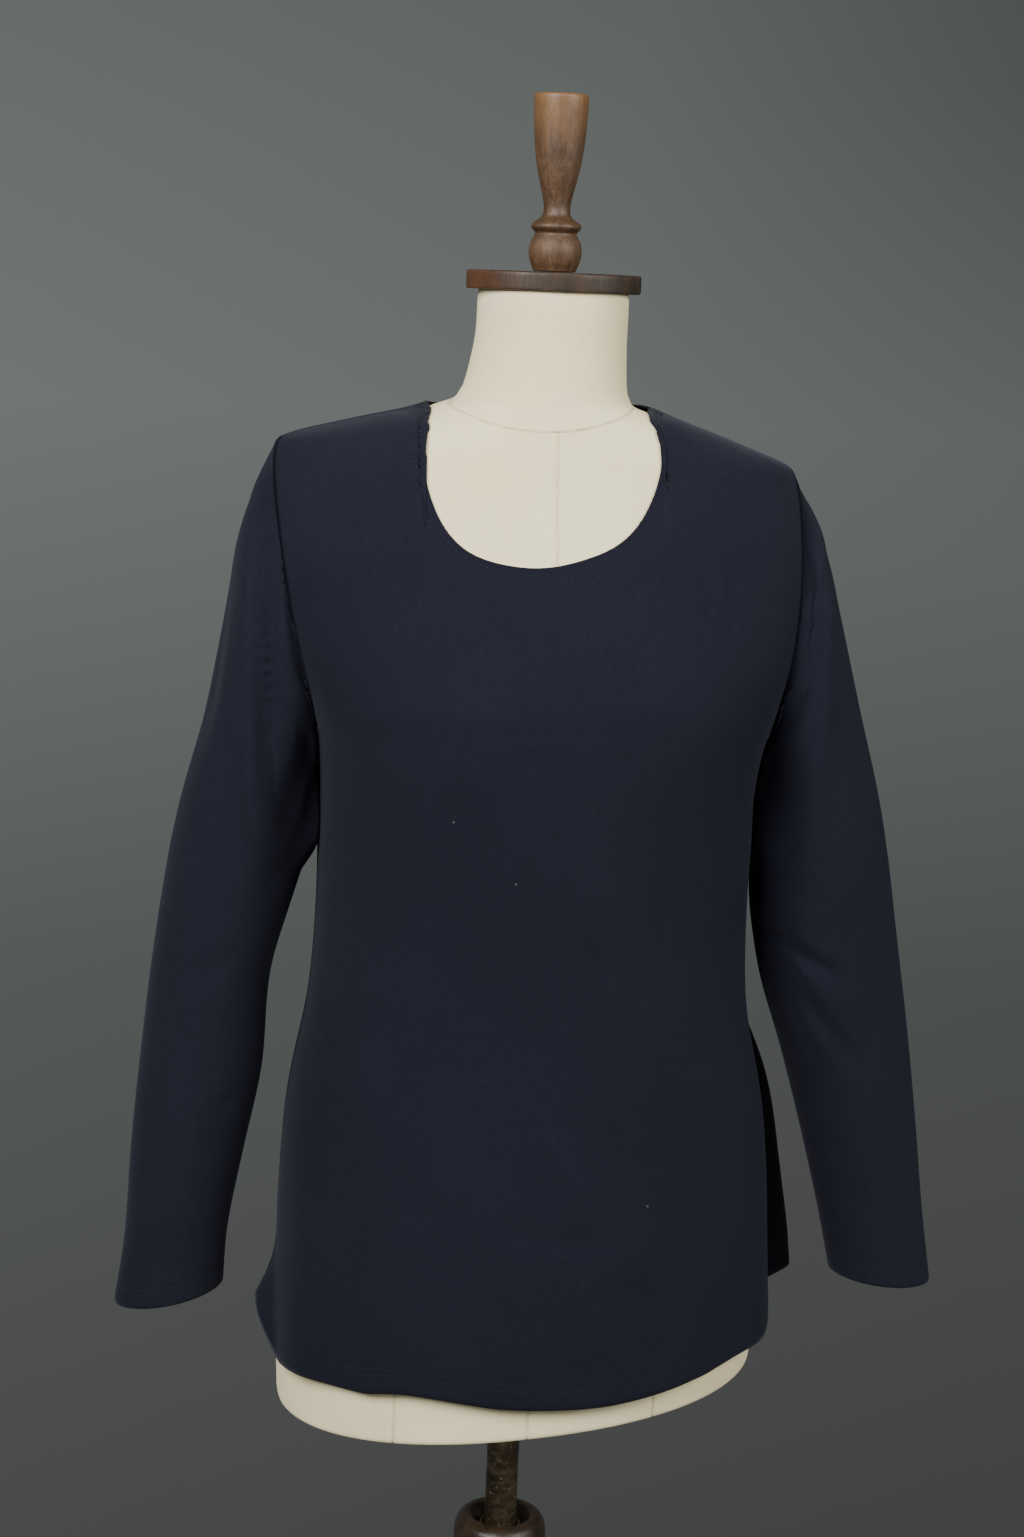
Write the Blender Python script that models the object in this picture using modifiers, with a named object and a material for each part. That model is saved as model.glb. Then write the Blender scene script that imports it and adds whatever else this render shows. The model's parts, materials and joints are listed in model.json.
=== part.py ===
"""A long-sleeve jersey top, worn by a limbless dress form on a turned wooden stand.

Metres, +Z up, origin in the middle of the stand's underside. The front faces -Y, so the
wearer's right side is at -X. Angles round the body start at the wearer's right side (0),
pass the front (90) and reach the left side (180). Negative angles pass the back.
"""
import math

import bpy
from mathutils import Vector

# Cloth and seams
CLOTH_THICKNESS = 0.0016
SEAM_GAP = 0.0003
UNDERARM_GAP = 0.0009
UNDERARM_FOLD_END = 1.2250
ARMHOLE_SEAM_START = 1.2750
CLOTH_LIFT = 0.0022
UNDERARM_HEIGHT = 1.2050
SHOULDER_TIP_HEIGHT = 1.3968
NECK_POINT_HEIGHTS = {-1: 1.4234, 1: 1.4284}
NECKLINE_MIDDLE = -0.0100

# Grids of the cloth: columns of half a panel, rows under and over the armpit
SHOULDER_COLUMNS = 6
NECKLINE_COLUMNS = 9
BODY_ROWS = 13
YOKE_ROWS = 10
SLEEVE_RINGS = 21
NECK_POINT_ANGLE = 50.0
SIDE_CROWDING = 1.25
SHOULDER_CROWDING = 2.0
ARMHOLE_CROWDING = 1.4
SHOULDER_TILT = -0.022
TILT_START_HEIGHT = 1.2500
TILT_FULL_HEIGHT = 1.3900
TILT_FADE_HEIGHT = 1.4250
TILT_END_HEIGHT = 1.4900

# Dress form, its cap and its finial
ROUNDNESS = 2.2
FORM_COLUMNS = 40
RIM_SLOPE = 0.108
RIM_HEIGHT = 0.7460
RIM_LEVEL_HEIGHT = 0.8700
RIM_ROUNDING = 0.0060
NECK_TOP_HEIGHT = 1.5010
CAP_WIDTH = 0.1160
CAP_DEPTH = 0.1100
CAP_THICKNESS = 0.0125
CAP_EDGE = 0.0016
TURNED_STEPS = 28

# Pole and stand
POLE_RADIUS = 0.0115
POLE_TOP_HEIGHT = 0.8200
SOCKET_TOP_HEIGHT = 0.6330
SOCKET_RADIUS = 0.0335
SOCKET_ROUNDING = 0.0110
SOCKET_LENGTH = 0.0700
SOCKET_DEPTH = 0.0500
FUNNEL_RADIUS = 0.0215
FUNNEL_DEPTH = 0.0110
RING_RADIUS = 0.0155
RING_HEIGHT = 0.0040
SHAFT_RADIUS = 0.0250
BASE_RADIUS = 0.1700
BASE_THICKNESS = 0.0280
BASE_ROUNDING = 0.0090

# Dress form: height, sideways shift, half width, depth to the front, depth to the back
FORM_RINGS = (
    (0.720, 0.0040, 0.1660, 0.1250, 0.1240),
    (0.760, 0.0040, 0.1680, 0.1260, 0.1260),
    (0.810, 0.0040, 0.1695, 0.1260, 0.1290),
    (0.870, 0.0040, 0.1655, 0.1225, 0.1260),
    (0.950, 0.0035, 0.1480, 0.1115, 0.1120),
    (1.020, 0.0030, 0.1300, 0.1010, 0.0970),
    (1.080, 0.0030, 0.1240, 0.1000, 0.0920),
    (1.140, 0.0030, 0.1300, 0.1130, 0.0950),
    (1.190, 0.0025, 0.1400, 0.1245, 0.1000),
    (1.225, 0.0020, 0.1480, 0.1270, 0.1040),
    (1.270, 0.0000, 0.1560, 0.1130, 0.1060),
    (1.320, -0.0030, 0.1620, 0.0935, 0.1050),
    (1.360, -0.0060, 0.1620, 0.0785, 0.0980),
    (1.380, -0.0070, 0.1590, 0.0720, 0.0910),
    (1.3947, -0.0063, 0.1523, 0.0680, 0.0850),
    (1.4020, -0.0052, 0.1399, 0.0655, 0.0815),
    (1.4100, -0.0017, 0.1173, 0.0630, 0.0780),
    (1.4172, 0.0015, 0.0923, 0.0610, 0.0745),
    (1.4238, 0.0003, 0.0740, 0.0590, 0.0705),
    (1.4265, -0.0003, 0.0655, 0.0584, 0.0687),
    (1.4305, -0.0027, 0.0580, 0.0575, 0.0655),
    (1.4350, -0.0026, 0.0557, 0.0566, 0.0625),
    (1.4400, -0.0025, 0.0537, 0.0555, 0.0600),
    (1.4600, -0.0010, 0.0510, 0.0530, 0.0550),
    (1.4800, 0.0000, 0.0497, 0.0520, 0.0525),
    (1.5010, 0.0000, 0.0495, 0.0515, 0.0520),
)

# How the inside of the cloth lies on the form: height, sideways shift, and how far it stands off
# at the sides, the front and the back
CLOTH_EASE = (
    (0.750, 0.0030, 0.0100, 0.0070, 0.0100),
    (0.800, 0.0030, 0.0060, 0.0065, 0.0080),
    (0.860, 0.0025, 0.0045, 0.0070, 0.0070),
    (0.950, 0.0010, 0.0160, 0.0130, 0.0110),
    (1.020, 0.0000, 0.0205, 0.0185, 0.0170),
    (1.080, 0.0000, 0.0230, 0.0190, 0.0180),
    (1.140, 0.0000, 0.0175, 0.0095, 0.0140),
    (1.190, 0.0000, 0.0095, 0.0020, 0.0090),
    (1.2265, 0.0000, 0.0130, 0.0006, 0.0060),
    (1.2715, 0.0000, 0.0235, 0.0010, 0.0025),
    (1.3215, 0.0000, 0.0280, 0.0014, 0.0014),
    (1.3615, 0.0000, 0.0260, 0.0014, 0.0014),
    (1.3815, 0.0000, 0.0210, 0.0014, 0.0014),
    (1.3962, 0.0000, 0.0160, 0.0014, 0.0014),
    (1.4035, 0.0000, 0.0055, 0.0014, 0.0014),
    (1.4115, 0.0000, 0.0014, 0.0014, 0.0014),
    (1.4300, 0.0000, 0.0014, 0.0014, 0.0014),
)

# Upright folds of the body: angle, half width, height where it starts, height where it is
# deepest, how far it stands out there (a trough is negative)
BODY_FOLDS = (
    (0.0, 13.0, 0.825, 0.790, 0.0140),
    (-172.0, 8.0, 1.060, 0.880, -0.0030),
    (-158.0, 15.0, 1.090, 0.900, 0.0360),
    (-158.0, 15.0, 0.930, 0.790, 0.0140),
    (150.0, 16.0, 1.000, 0.800, 0.0025),
    (28.0, 14.0, 0.980, 0.800, 0.0035),
    (-35.0, 16.0, 1.020, 0.800, 0.0070),
    (-90.0, 26.0, 1.060, 0.800, 0.0060),
)

# Armhole edge from the armpit to the shoulder tip: height, front angle, back angle
ARMHOLE = (
    (UNDERARM_HEIGHT, 0.0, 0.0),
    (1.2090, 8.0, 9.0),
    (1.2190, 15.5, 16.5),
    (1.2400, 21.0, 23.0),
    (1.2720, 25.0, 27.0),
    (1.3200, 26.5, 28.0),
    (1.3600, 23.0, 24.0),
    (1.3840, 14.0, 15.0),
    (SHOULDER_TIP_HEIGHT, 0.0, 0.0),
)

# Neck edge from the shoulder seam to the middle, on the right (-1) and the left (1): distance
# from its middle, height
FRONT_NECKLINES = {
    -1: (
        (0.0700, 1.4234),
        (0.0708, 1.4212),
        (0.0752, 1.4140),
        (0.0779, 1.4000),
        (0.0750, 1.3745),
        (0.0600, 1.3445),
        (0.0335, 1.3308),
        (0.0000, 1.3284),
    ),
    1: (
        (0.0730, 1.4284),
        (0.0722, 1.4250),
        (0.0757, 1.4175),
        (0.0779, 1.4030),
        (0.0752, 1.3842),
        (0.0600, 1.3545),
        (0.0335, 1.3373),
        (0.0000, 1.3284),
    ),
}
BACK_NECKLINES = {
    -1: (
        (0.0700, 1.4234),
        (0.0690, 1.4230),
        (0.0665, 1.4222),
        (0.0620, 1.4214),
        (0.0545, 1.4214),
        (0.0400, 1.4222),
        (0.0200, 1.4226),
        (0.0000, 1.4228),
    ),
    1: (
        (0.0730, 1.4284),
        (0.0715, 1.4277),
        (0.0685, 1.4266),
        (0.0635, 1.4252),
        (0.0550, 1.4240),
        (0.0400, 1.4232),
        (0.0200, 1.4229),
        (0.0000, 1.4228),
    ),
}

# Lower edge of the two panels, from the right side seam round to the left: angle, height
FRONT_HEM = (
    (0.0, 0.8010),
    (5.0, 0.7920),
    (13.0, 0.7705),
    (22.0, 0.7712),
    (36.0, 0.7735),
    (50.0, 0.7742),
    (62.0, 0.7786),
    (73.0, 0.7770),
    (84.0, 0.7735),
    (100.0, 0.7738),
    (113.0, 0.7785),
    (130.0, 0.7870),
    (142.0, 0.7925),
    (160.0, 0.7932),
    (180.0, 0.7975),
)
BACK_HEM = (
    (0.0, 0.8010),
    (12.0, 0.7900),
    (30.0, 0.7800),
    (90.0, 0.7720),
    (140.0, 0.7800),
    (158.0, 0.7940),
    (180.0, 0.7975),
)

# Sleeves from armhole to cuff: armpit line (out, height), outer line (out, height), half depth,
# shift to the back
SLEEVE_RIGHT_RINGS = (
    (0.1515, 1.190, 0.1915, 1.370, 0.054, 0.000),
    (0.1505, 1.176, 0.2035, 1.332, 0.057, 0.000),
    (0.1500, 1.160, 0.2110, 1.288, 0.057, 0.000),
    (0.1500, 1.132, 0.2245, 1.212, 0.056, 0.000),
    (0.1620, 1.088, 0.2415, 1.143, 0.054, 0.000),
    (0.1755, 1.035, 0.2540, 1.060, 0.050, 0.000),
    (0.1795, 0.970, 0.2620, 0.985, 0.046, 0.000),
    (0.1905, 0.912, 0.2680, 0.915, 0.041, -0.002),
    (0.2005, 0.856, 0.2715, 0.850, 0.036, -0.004),
    (0.2030, 0.816, 0.2780, 0.801, 0.033, -0.006),
)
SLEEVE_LEFT_RINGS = (
    (0.1560, 1.190, 0.1860, 1.362, 0.054, 0.000),
    (0.1562, 1.176, 0.1970, 1.328, 0.057, 0.000),
    (0.1565, 1.155, 0.2058, 1.295, 0.057, 0.000),
    (0.1568, 1.120, 0.2238, 1.230, 0.056, 0.000),
    (0.1580, 1.085, 0.2450, 1.155, 0.055, 0.000),
    (0.1680, 1.035, 0.2632, 1.060, 0.051, 0.000),
    (0.1850, 0.985, 0.2742, 1.000, 0.047, 0.000),
    (0.2016, 0.930, 0.2840, 0.937, 0.042, -0.002),
    (0.2184, 0.868, 0.2935, 0.870, 0.036, -0.004),
    (0.2292, 0.822, 0.3025, 0.816, 0.033, -0.006),
)

# Folds of the sleeves: angle round the sleeve from the armpit line over the front, half width,
# share of the way down where it starts, is deepest and ends, how far it stands out
SLEEVE_RIGHT_FOLDS = (
    (48.0, 26.0, 0.02, 0.26, 0.50, -0.0130),
    (-48.0, 26.0, 0.02, 0.26, 0.50, -0.0100),
    (140.0, 24.0, 0.20, 0.34, 0.52, 0.0030),
)
SLEEVE_LEFT_FOLDS = (
    (46.0, 24.0, 0.04, 0.24, 0.46, -0.0120),
    (-48.0, 26.0, 0.02, 0.26, 0.50, -0.0100),
    (60.0, 24.0, 0.44, 0.58, 0.74, 0.0040),
)

# Turned outlines, from top to bottom: radius, height over the cap
FINIAL_PROFILE = (
    (0.0000, 0.1145),
    (0.0150, 0.1145),
    (0.0177, 0.1130),
    (0.0179, 0.1100),
    (0.0170, 0.0880),
    (0.0148, 0.0690),
    (0.0108, 0.0520),
    (0.0086, 0.0415),
    (0.0090, 0.0370),
    (0.0120, 0.0340),
    (0.0160, 0.0315),
    (0.0168, 0.0290),
    (0.0150, 0.0268),
    (0.0137, 0.0248),
    (0.0150, 0.0215),
    (0.0174, 0.0160),
    (0.0176, 0.0120),
    (0.0165, 0.0060),
    (0.0142, 0.0015),
    (0.0142, SEAM_GAP),
    (0.0000, SEAM_GAP),
)

NAVY_JERSEY = ("navy jersey", (0.012, 0.014, 0.026), 0.9, 0.0)
LINEN = ("cream linen", (0.66, 0.60, 0.46), 0.85, 0.0)
BROWN_WOOD = ("brown turned wood", (0.16, 0.07, 0.03), 0.4, 0.0)
DARK_WOOD = ("dark stand wood", (0.03, 0.018, 0.012), 0.35, 0.0)
AGED_METAL = ("aged steel", (0.12, 0.09, 0.055), 0.4, 0.9)


def smooth_row(table, key):
    """The columns after the first at one value of the first, on a smooth curve through the rows."""
    keys = [row[0] for row in table]
    key = min(max(key, keys[0]), keys[-1])
    lower = max(index for index in range(len(keys) - 1) if keys[index] <= key)

    def slope(index, column):
        first = max(index - 1, 0)
        last = min(index + 1, len(keys) - 1)
        return (table[last][column] - table[first][column]) / (keys[last] - keys[first])

    length = keys[lower + 1] - keys[lower]
    t = (key - keys[lower]) / length
    values = []
    for column in range(1, len(table[0])):
        start, end = table[lower][column], table[lower + 1][column]
        values.append(
            start * (1 + 2 * t) * (1 - t) ** 2
            + end * t * t * (3 - 2 * t)
            + slope(lower, column) * length * t * (1 - t) ** 2
            - slope(lower + 1, column) * length * t * t * (1 - t)
        )
    return values


def smooth_along(rows, share):
    """A row at a share of the way through a table whose rows are evenly spaced."""
    numbered = tuple((index, *row) for index, row in enumerate(rows))
    return smooth_row(numbered, share * (len(rows) - 1))


def tilted(point):
    """Shear a point at the shoulders: the wearer's right shoulder is the higher one."""
    x, y, height = point
    rise = ease_in((height - TILT_START_HEIGHT) / (TILT_FULL_HEIGHT - TILT_START_HEIGHT))
    fade = ease_in((TILT_END_HEIGHT - height) / (TILT_END_HEIGHT - TILT_FADE_HEIGHT))
    return x, y, height + SHOULDER_TILT * x * rise * fade


def bell(distance):
    """1 in the middle, 0 at a distance of 1 and more."""
    return math.cos(math.pi / 2 * distance) ** 2 if abs(distance) < 1 else 0.0


def ease_in(value):
    """0 up to 0, 1 from 1, and an even S between."""
    value = min(max(value, 0.0), 1.0)
    return value * value * (3 - 2 * value)


def rounded(value):
    """Turn the sine or cosine of an angle into that of a slightly squared ring."""
    return math.copysign(abs(value) ** (2 / ROUNDNESS), value)


def across(distance):
    """How deep a slightly squared ring is at a share of its half width."""
    return max(0.0, 1 - min(abs(distance), 1.0) ** ROUNDNESS) ** (1 / ROUNDNESS)


def cloth_ring(height):
    """Shift, half width, front depth and back depth of the inside of the cloth."""
    middle, half_width, front, back = smooth_row(FORM_RINGS, height - CLOTH_LIFT)
    shift, side_ease, front_ease, back_ease = smooth_row(CLOTH_EASE, height)
    return middle + shift, half_width + side_ease, front + front_ease, back + back_ease


def cloth_depth(x, height, facing):
    """Signed Y of the cloth at a place in the front view: facing is 1 for the front, -1 for the back."""
    middle, half_width, front, back = cloth_ring(height)
    depth = (front if facing > 0 else back) * across((x - middle) / half_width)
    return -facing * max(depth, SEAM_GAP / 2)


def fold_height(angle, height):
    """How far the upright folds push the body cloth out at one place."""
    push = 0.0
    for fold_angle, half_width, top, deepest, depth in BODY_FOLDS:
        turn = (angle - fold_angle + 180) % 360 - 180
        push += depth * bell(turn / half_width) * ease_in((top - height) / (top - deepest))
    return push


def body_point(angle, height, facing):
    """A point of the body cloth under the armpits, with its folds: angle from 0 to 180."""
    middle, half_width, front, back = cloth_ring(height)
    turn = math.radians(angle)
    x = middle - half_width * rounded(math.cos(turn))
    depth = (front if facing > 0 else back) * rounded(math.sin(turn))
    push = fold_height(facing * angle, height)
    x -= push * math.cos(turn)
    y = -facing * max(depth + push * math.sin(turn), SEAM_GAP / 2)
    return x, y, height


def hem_height(angle, facing):
    """Height of the lower edge: each panel dips in the middle and rises to the side seams."""
    (height,) = smooth_row(FRONT_HEM if facing > 0 else BACK_HEM, angle)
    return height


def column_angle(column, side):
    """Angle of a column of half a panel under the armpit, from the side seam to the middle (90)."""
    if column <= SHOULDER_COLUMNS:
        angle = NECK_POINT_ANGLE * (column / SHOULDER_COLUMNS) ** SIDE_CROWDING
    else:
        share = (column - SHOULDER_COLUMNS) / NECKLINE_COLUMNS
        angle = NECK_POINT_ANGLE + (90 - NECK_POINT_ANGLE) * share
    return angle if side < 0 else 180 - angle


def top_edge(column, side, necklines):
    """Front view of the upper edge of half a panel: shoulder seam, then neckline. side is -1 or 1."""
    if column <= SHOULDER_COLUMNS:
        share = column / SHOULDER_COLUMNS
        height = SHOULDER_TIP_HEIGHT + (NECK_POINT_HEIGHTS[side] - SHOULDER_TIP_HEIGHT) * share
        middle, half_width, _, _ = cloth_ring(height)
        return middle + side * half_width, height
    out, height = smooth_along(necklines[side], (column - SHOULDER_COLUMNS) / NECKLINE_COLUMNS)
    return NECKLINE_MIDDLE + side * out, height


def armhole_edge(row, side, facing):
    """Front view of the armhole edge, from the armpit to the shoulder tip."""
    share = 1 - (1 - row / YOKE_ROWS) ** ARMHOLE_CROWDING
    height, front_angle, back_angle = smooth_along(ARMHOLE, share)
    angle = front_angle if facing > 0 else back_angle
    middle, half_width, _, _ = cloth_ring(height)
    return middle + side * half_width * rounded(math.cos(math.radians(angle))), height


def yoke_point(column, row, side, facing, necklines):
    """A point over the armpits, blended from the four edges of half a panel."""
    columns = SHOULDER_COLUMNS + NECKLINE_COLUMNS
    inward = column / columns
    upward = 1 - (1 - row / YOKE_ROWS) ** SHOULDER_CROWDING
    angle = column_angle(column, side)
    chest_x, _, chest_height = body_point(angle, UNDERARM_HEIGHT, facing)
    top_x, top_height = top_edge(column, side, necklines)
    edge_x, edge_height = armhole_edge(row, side, facing)
    first_x, first_height = armhole_edge(0, side, facing)
    last_x, last_height = armhole_edge(YOKE_ROWS, side, facing)
    x = (1 - upward) * chest_x + upward * top_x
    x += (1 - inward) * (edge_x - (1 - upward) * first_x - upward * last_x)
    height = (1 - upward) * chest_height + upward * top_height
    height += (1 - inward) * (edge_height - (1 - upward) * first_height - upward * last_height)
    return tilted((x, cloth_depth(x, height, facing), height))


def panel_rows(facing, necklines):
    """Rows of points of the front (1) or back (-1), from hem to shoulder, right side to left."""
    half = SHOULDER_COLUMNS + NECKLINE_COLUMNS
    places = [(column, -1) for column in range(half)]
    places += [(column, 1) for column in range(half, -1, -1)]
    rows = []
    for row in range(BODY_ROWS):
        points = []
        for column, side in places:
            angle = column_angle(column, side)
            hem = hem_height(angle, facing)
            points.append(body_point(angle, hem + (UNDERARM_HEIGHT - hem) * row / BODY_ROWS, facing))
        rows.append(points)
    for row in range(YOKE_ROWS + 1):
        rows.append([yoke_point(column, row, side, facing, necklines) for column, side in places])
    return rows


def wall_normal(rows, row, column, closed):
    """Direction across the cloth at one point; on a side or shoulder seam it stays in its plane."""
    columns = len(rows[0])
    below, above = rows[max(row - 1, 0)][column], rows[min(row + 1, len(rows) - 1)][column]
    before = rows[row][(column - 1) % columns if closed else max(column - 1, 0)]
    after = rows[row][(column + 1) % columns if closed else min(column + 1, columns - 1)]
    normal = (Vector(after) - Vector(before)).cross(Vector(above) - Vector(below))
    if not closed and abs(rows[row][column][1]) < SEAM_GAP:
        normal.y = 0.0
    return normal.normalized()


def armhole_seam(side, front_rows, back_rows):
    """Start of a sleeve, up the front of the armhole and down its back.

    Gives the outside points, the direction across the wall there, and how far it is that of the
    panels: over the armpit the two walls meet edge to edge, under it the sleeve folds down.
    """
    column = 0 if side < 0 else len(front_rows[0]) - 1
    edges = []
    for facing, rows in ((1, front_rows), (-1, back_rows)):
        edge = []
        for row in range(BODY_ROWS, BODY_ROWS + YOKE_ROWS + 1):
            edge.append((Vector(rows[row][column]), facing * wall_normal(rows, row, column, False)))
        edges.append(edge)
    loop = edges[0] + edges[1][-2:0:-1]
    points, normals, shares = [], [], []
    for index, (point, normal) in enumerate(loop):
        tangent = loop[(index + 1) % len(loop)][0] - loop[index - 1][0]
        away = -side * normal.cross(tangent).normalized()
        share = ease_in((point.z - UNDERARM_FOLD_END) / (ARMHOLE_SEAM_START - UNDERARM_FOLD_END))
        butted = point + normal * CLOTH_THICKNESS + away * SEAM_GAP
        folded = point + Vector((side * (CLOTH_THICKNESS + UNDERARM_GAP), 0.0, CLOTH_THICKNESS))
        points.append(tuple(folded.lerp(butted, share)))
        normals.append(normal)
        shares.append(share)
    return points, normals, shares


def sleeve_rows(side, stations, folds):
    """Rings of points of a sleeve after its seam, down to the cuff."""
    count = 2 * YOKE_ROWS
    rows = []
    for ring in range(SLEEVE_RINGS):
        share = ring / (SLEEVE_RINGS - 1)
        inner_out, inner_height, outer_out, outer_height, half_depth, shift = smooth_along(stations, share)
        points = []
        for index in range(count):
            turn = 2 * math.pi * index / count
            degrees = math.degrees(turn)
            push = 0.0
            for angle, half_width, start, deepest, end, depth in folds:
                away = (degrees - angle + 180) % 360 - 180
                span = deepest - start if share < deepest else end - deepest
                push += depth * bell(away / half_width) * bell((share - deepest) / span)
            along = (1 - math.cos(turn)) / 2
            reach = math.hypot(outer_out - inner_out, outer_height - inner_height) / 2
            along -= push * math.cos(turn) / (2 * reach)
            depth = (half_depth + push) * math.sin(turn)
            out = inner_out + (outer_out - inner_out) * along
            height = inner_height + (outer_height - inner_height) * along
            points.append(tilted((side * out, shift - depth, height)))
        rows.append(points)
    return rows


def material(finish):
    name, colour, roughness, metallic = finish
    made = bpy.data.materials.get(name) or bpy.data.materials.new(name)
    made.use_nodes = True
    shader = made.node_tree.nodes["Principled BSDF"]
    shader.inputs["Base Color"].default_value = (*colour, 1.0)
    shader.inputs["Roughness"].default_value = roughness
    shader.inputs["Metallic"].default_value = metallic
    made.diffuse_color = (*colour, 1.0)
    return made


def add_object(name, vertices, faces, finish, collection):
    mesh = bpy.data.meshes.new(name)
    mesh.from_pydata(vertices, [], faces)
    mesh.materials.append(material(finish))
    mesh.shade_smooth()
    made = bpy.data.objects.new(name, mesh)
    collection.objects.link(made)
    return made


def grid_faces(rows, columns, closed, flipped):
    """Quads between neighbouring rows of points."""
    faces = []
    for row in range(rows - 1):
        for column in range(columns if closed else columns - 1):
            beside = (column + 1) % columns
            face = (
                row * columns + column,
                row * columns + beside,
                (row + 1) * columns + beside,
                (row + 1) * columns + column,
            )
            faces.append(face[::-1] if flipped else face)
    return faces


def add_cloth(name, rows, closed, flipped, growth, seam, collection):
    """A wall of jersey on a surface: it grows outwards (1) or inwards (-1) from it.

    seam holds the directions across the first row and how far they count, or is None.
    """
    near, far = [], []
    for row, points in enumerate(rows):
        for column, point in enumerate(points):
            outward = wall_normal(rows, row, column, closed) * (-1 if flipped else 1)
            if row == 0 and seam:
                normals, shares = seam
                outward = outward.lerp(normals[column], shares[column]).normalized()
            near.append(point)
            far.append(tuple(Vector(point) + outward * growth * CLOTH_THICKNESS))
    inside, outside = (near, far) if growth > 0 else (far, near)
    columns = len(rows[0])
    count = len(near)
    last = count - columns
    faces = grid_faces(len(rows), columns, closed, not flipped)
    faces += [tuple(index + count for index in face) for face in grid_faces(len(rows), columns, closed, flipped)]
    edge = [(column, (column + 1) % columns) for column in range(columns if closed else columns - 1)]
    edge += [(end + last, start + last) for start, end in edge]
    if not closed:
        edge += [((row + 1) * columns, row * columns) for row in range(len(rows) - 1)]
        edge += [(row * columns + columns - 1, (row + 1) * columns + columns - 1) for row in range(len(rows) - 1)]
    for start, end in edge:
        face = (start, end, end + count, start + count)
        faces.append(face[::-1] if flipped else face)
    add_object(name, inside + outside, faces, NAVY_JERSEY, collection)


def add_turned(name, profile, finish, collection):
    """A turned piece: its outline runs down from the top, at +X, and is spun round the axis."""
    vertices = [(radius, 0.0, height) for radius, height in profile]
    mesh = bpy.data.meshes.new(name)
    mesh.from_pydata(vertices, [(index, index + 1) for index in range(len(profile) - 1)], [])
    mesh.materials.append(material(finish))
    made = bpy.data.objects.new(name, mesh)
    collection.objects.link(made)
    spin = made.modifiers.new("spin", "SCREW")
    spin.steps = TURNED_STEPS
    spin.render_steps = TURNED_STEPS
    spin.use_merge_vertices = True
    spin.merge_threshold = 0.00005
    return made


def rounded_corner(radius, height, rounding, steps, lower):
    """Points of a quarter circle on an outer corner, upper or lower, in order from the top."""
    points = []
    for step in range(steps + 1):
        turn = math.pi / 2 * step / steps
        if lower:
            points.append((radius - rounding * (1 - math.cos(turn)), height + rounding * (1 - math.sin(turn))))
        else:
            points.append((radius - rounding * (1 - math.sin(turn)), height - rounding * (1 - math.cos(turn))))
    return points


def form_rows():
    """Rings of the dress form, from its sloping lower rim to the top of the neck."""
    rim_heights = [0.0, RIM_ROUNDING * 0.4, RIM_ROUNDING * 1.4]
    heights = rim_heights + [RIM_LEVEL_HEIGHT - RIM_HEIGHT - 0.085, RIM_LEVEL_HEIGHT - RIM_HEIGHT - 0.045]
    levels = [RIM_HEIGHT + height for height in heights]
    levels += [0.870, 0.910, 0.950, 0.985, 1.020, 1.050, 1.080, 1.110, 1.140, 1.165, 1.190, 1.2075, 1.225]
    levels += [1.2475, 1.270, 1.295, 1.320, 1.340, 1.360, 1.380, 1.3947, 1.4020, 1.4100, 1.4136, 1.4172]
    levels += [1.4205, 1.4238, 1.4272, 1.4305, 1.4350, 1.4400, 1.4600, 1.4800, NECK_TOP_HEIGHT]
    rows = []
    for row, level in enumerate(levels):
        middle, half_width, front, back = smooth_row(FORM_RINGS, level)
        tuck = RIM_ROUNDING * (1.0, 0.35, 0.0)[row] if row < len(rim_heights) else 0.0
        points = []
        for column in range(FORM_COLUMNS):
            turn = 2 * math.pi * column / FORM_COLUMNS
            x = middle - (half_width - tuck) * rounded(math.cos(turn))
            depth = front if math.sin(turn) > 0 else back
            y = -(depth - tuck) * rounded(math.sin(turn))
            slope = RIM_SLOPE * (1 - ease_in((level - RIM_HEIGHT) / (RIM_LEVEL_HEIGHT - RIM_HEIGHT)))
            points.append(tilted((x, y, level + slope * x)))
        rows.append(points)
    return rows


def add_form(collection, cutters):
    rows = form_rows()
    vertices = [point for row in rows for point in row]
    faces = grid_faces(len(rows), FORM_COLUMNS, True, False)
    faces.append(tuple(range(FORM_COLUMNS))[::-1])
    faces.append(tuple(range(len(vertices) - FORM_COLUMNS, len(vertices))))
    form = add_object("form_body", vertices, faces, LINEN, collection)
    bpy.ops.mesh.primitive_cylinder_add(
        vertices=TURNED_STEPS,
        radius=POLE_RADIUS + SEAM_GAP,
        depth=POLE_TOP_HEIGHT + SEAM_GAP - RIM_HEIGHT + 2 * BASE_THICKNESS,
        location=(0, 0, (POLE_TOP_HEIGHT + SEAM_GAP + RIM_HEIGHT - 2 * BASE_THICKNESS) / 2),
    )
    cutter = bpy.context.object
    cutter.name = "pole bore"
    cutter.hide_render = True
    cutter.display_type = "WIRE"
    for owner in cutter.users_collection:
        owner.objects.unlink(cutter)
    cutters.objects.link(cutter)
    bore = form.modifiers.new("bore", "BOOLEAN")
    bore.object = cutter
    bore.operation = "DIFFERENCE"


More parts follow.
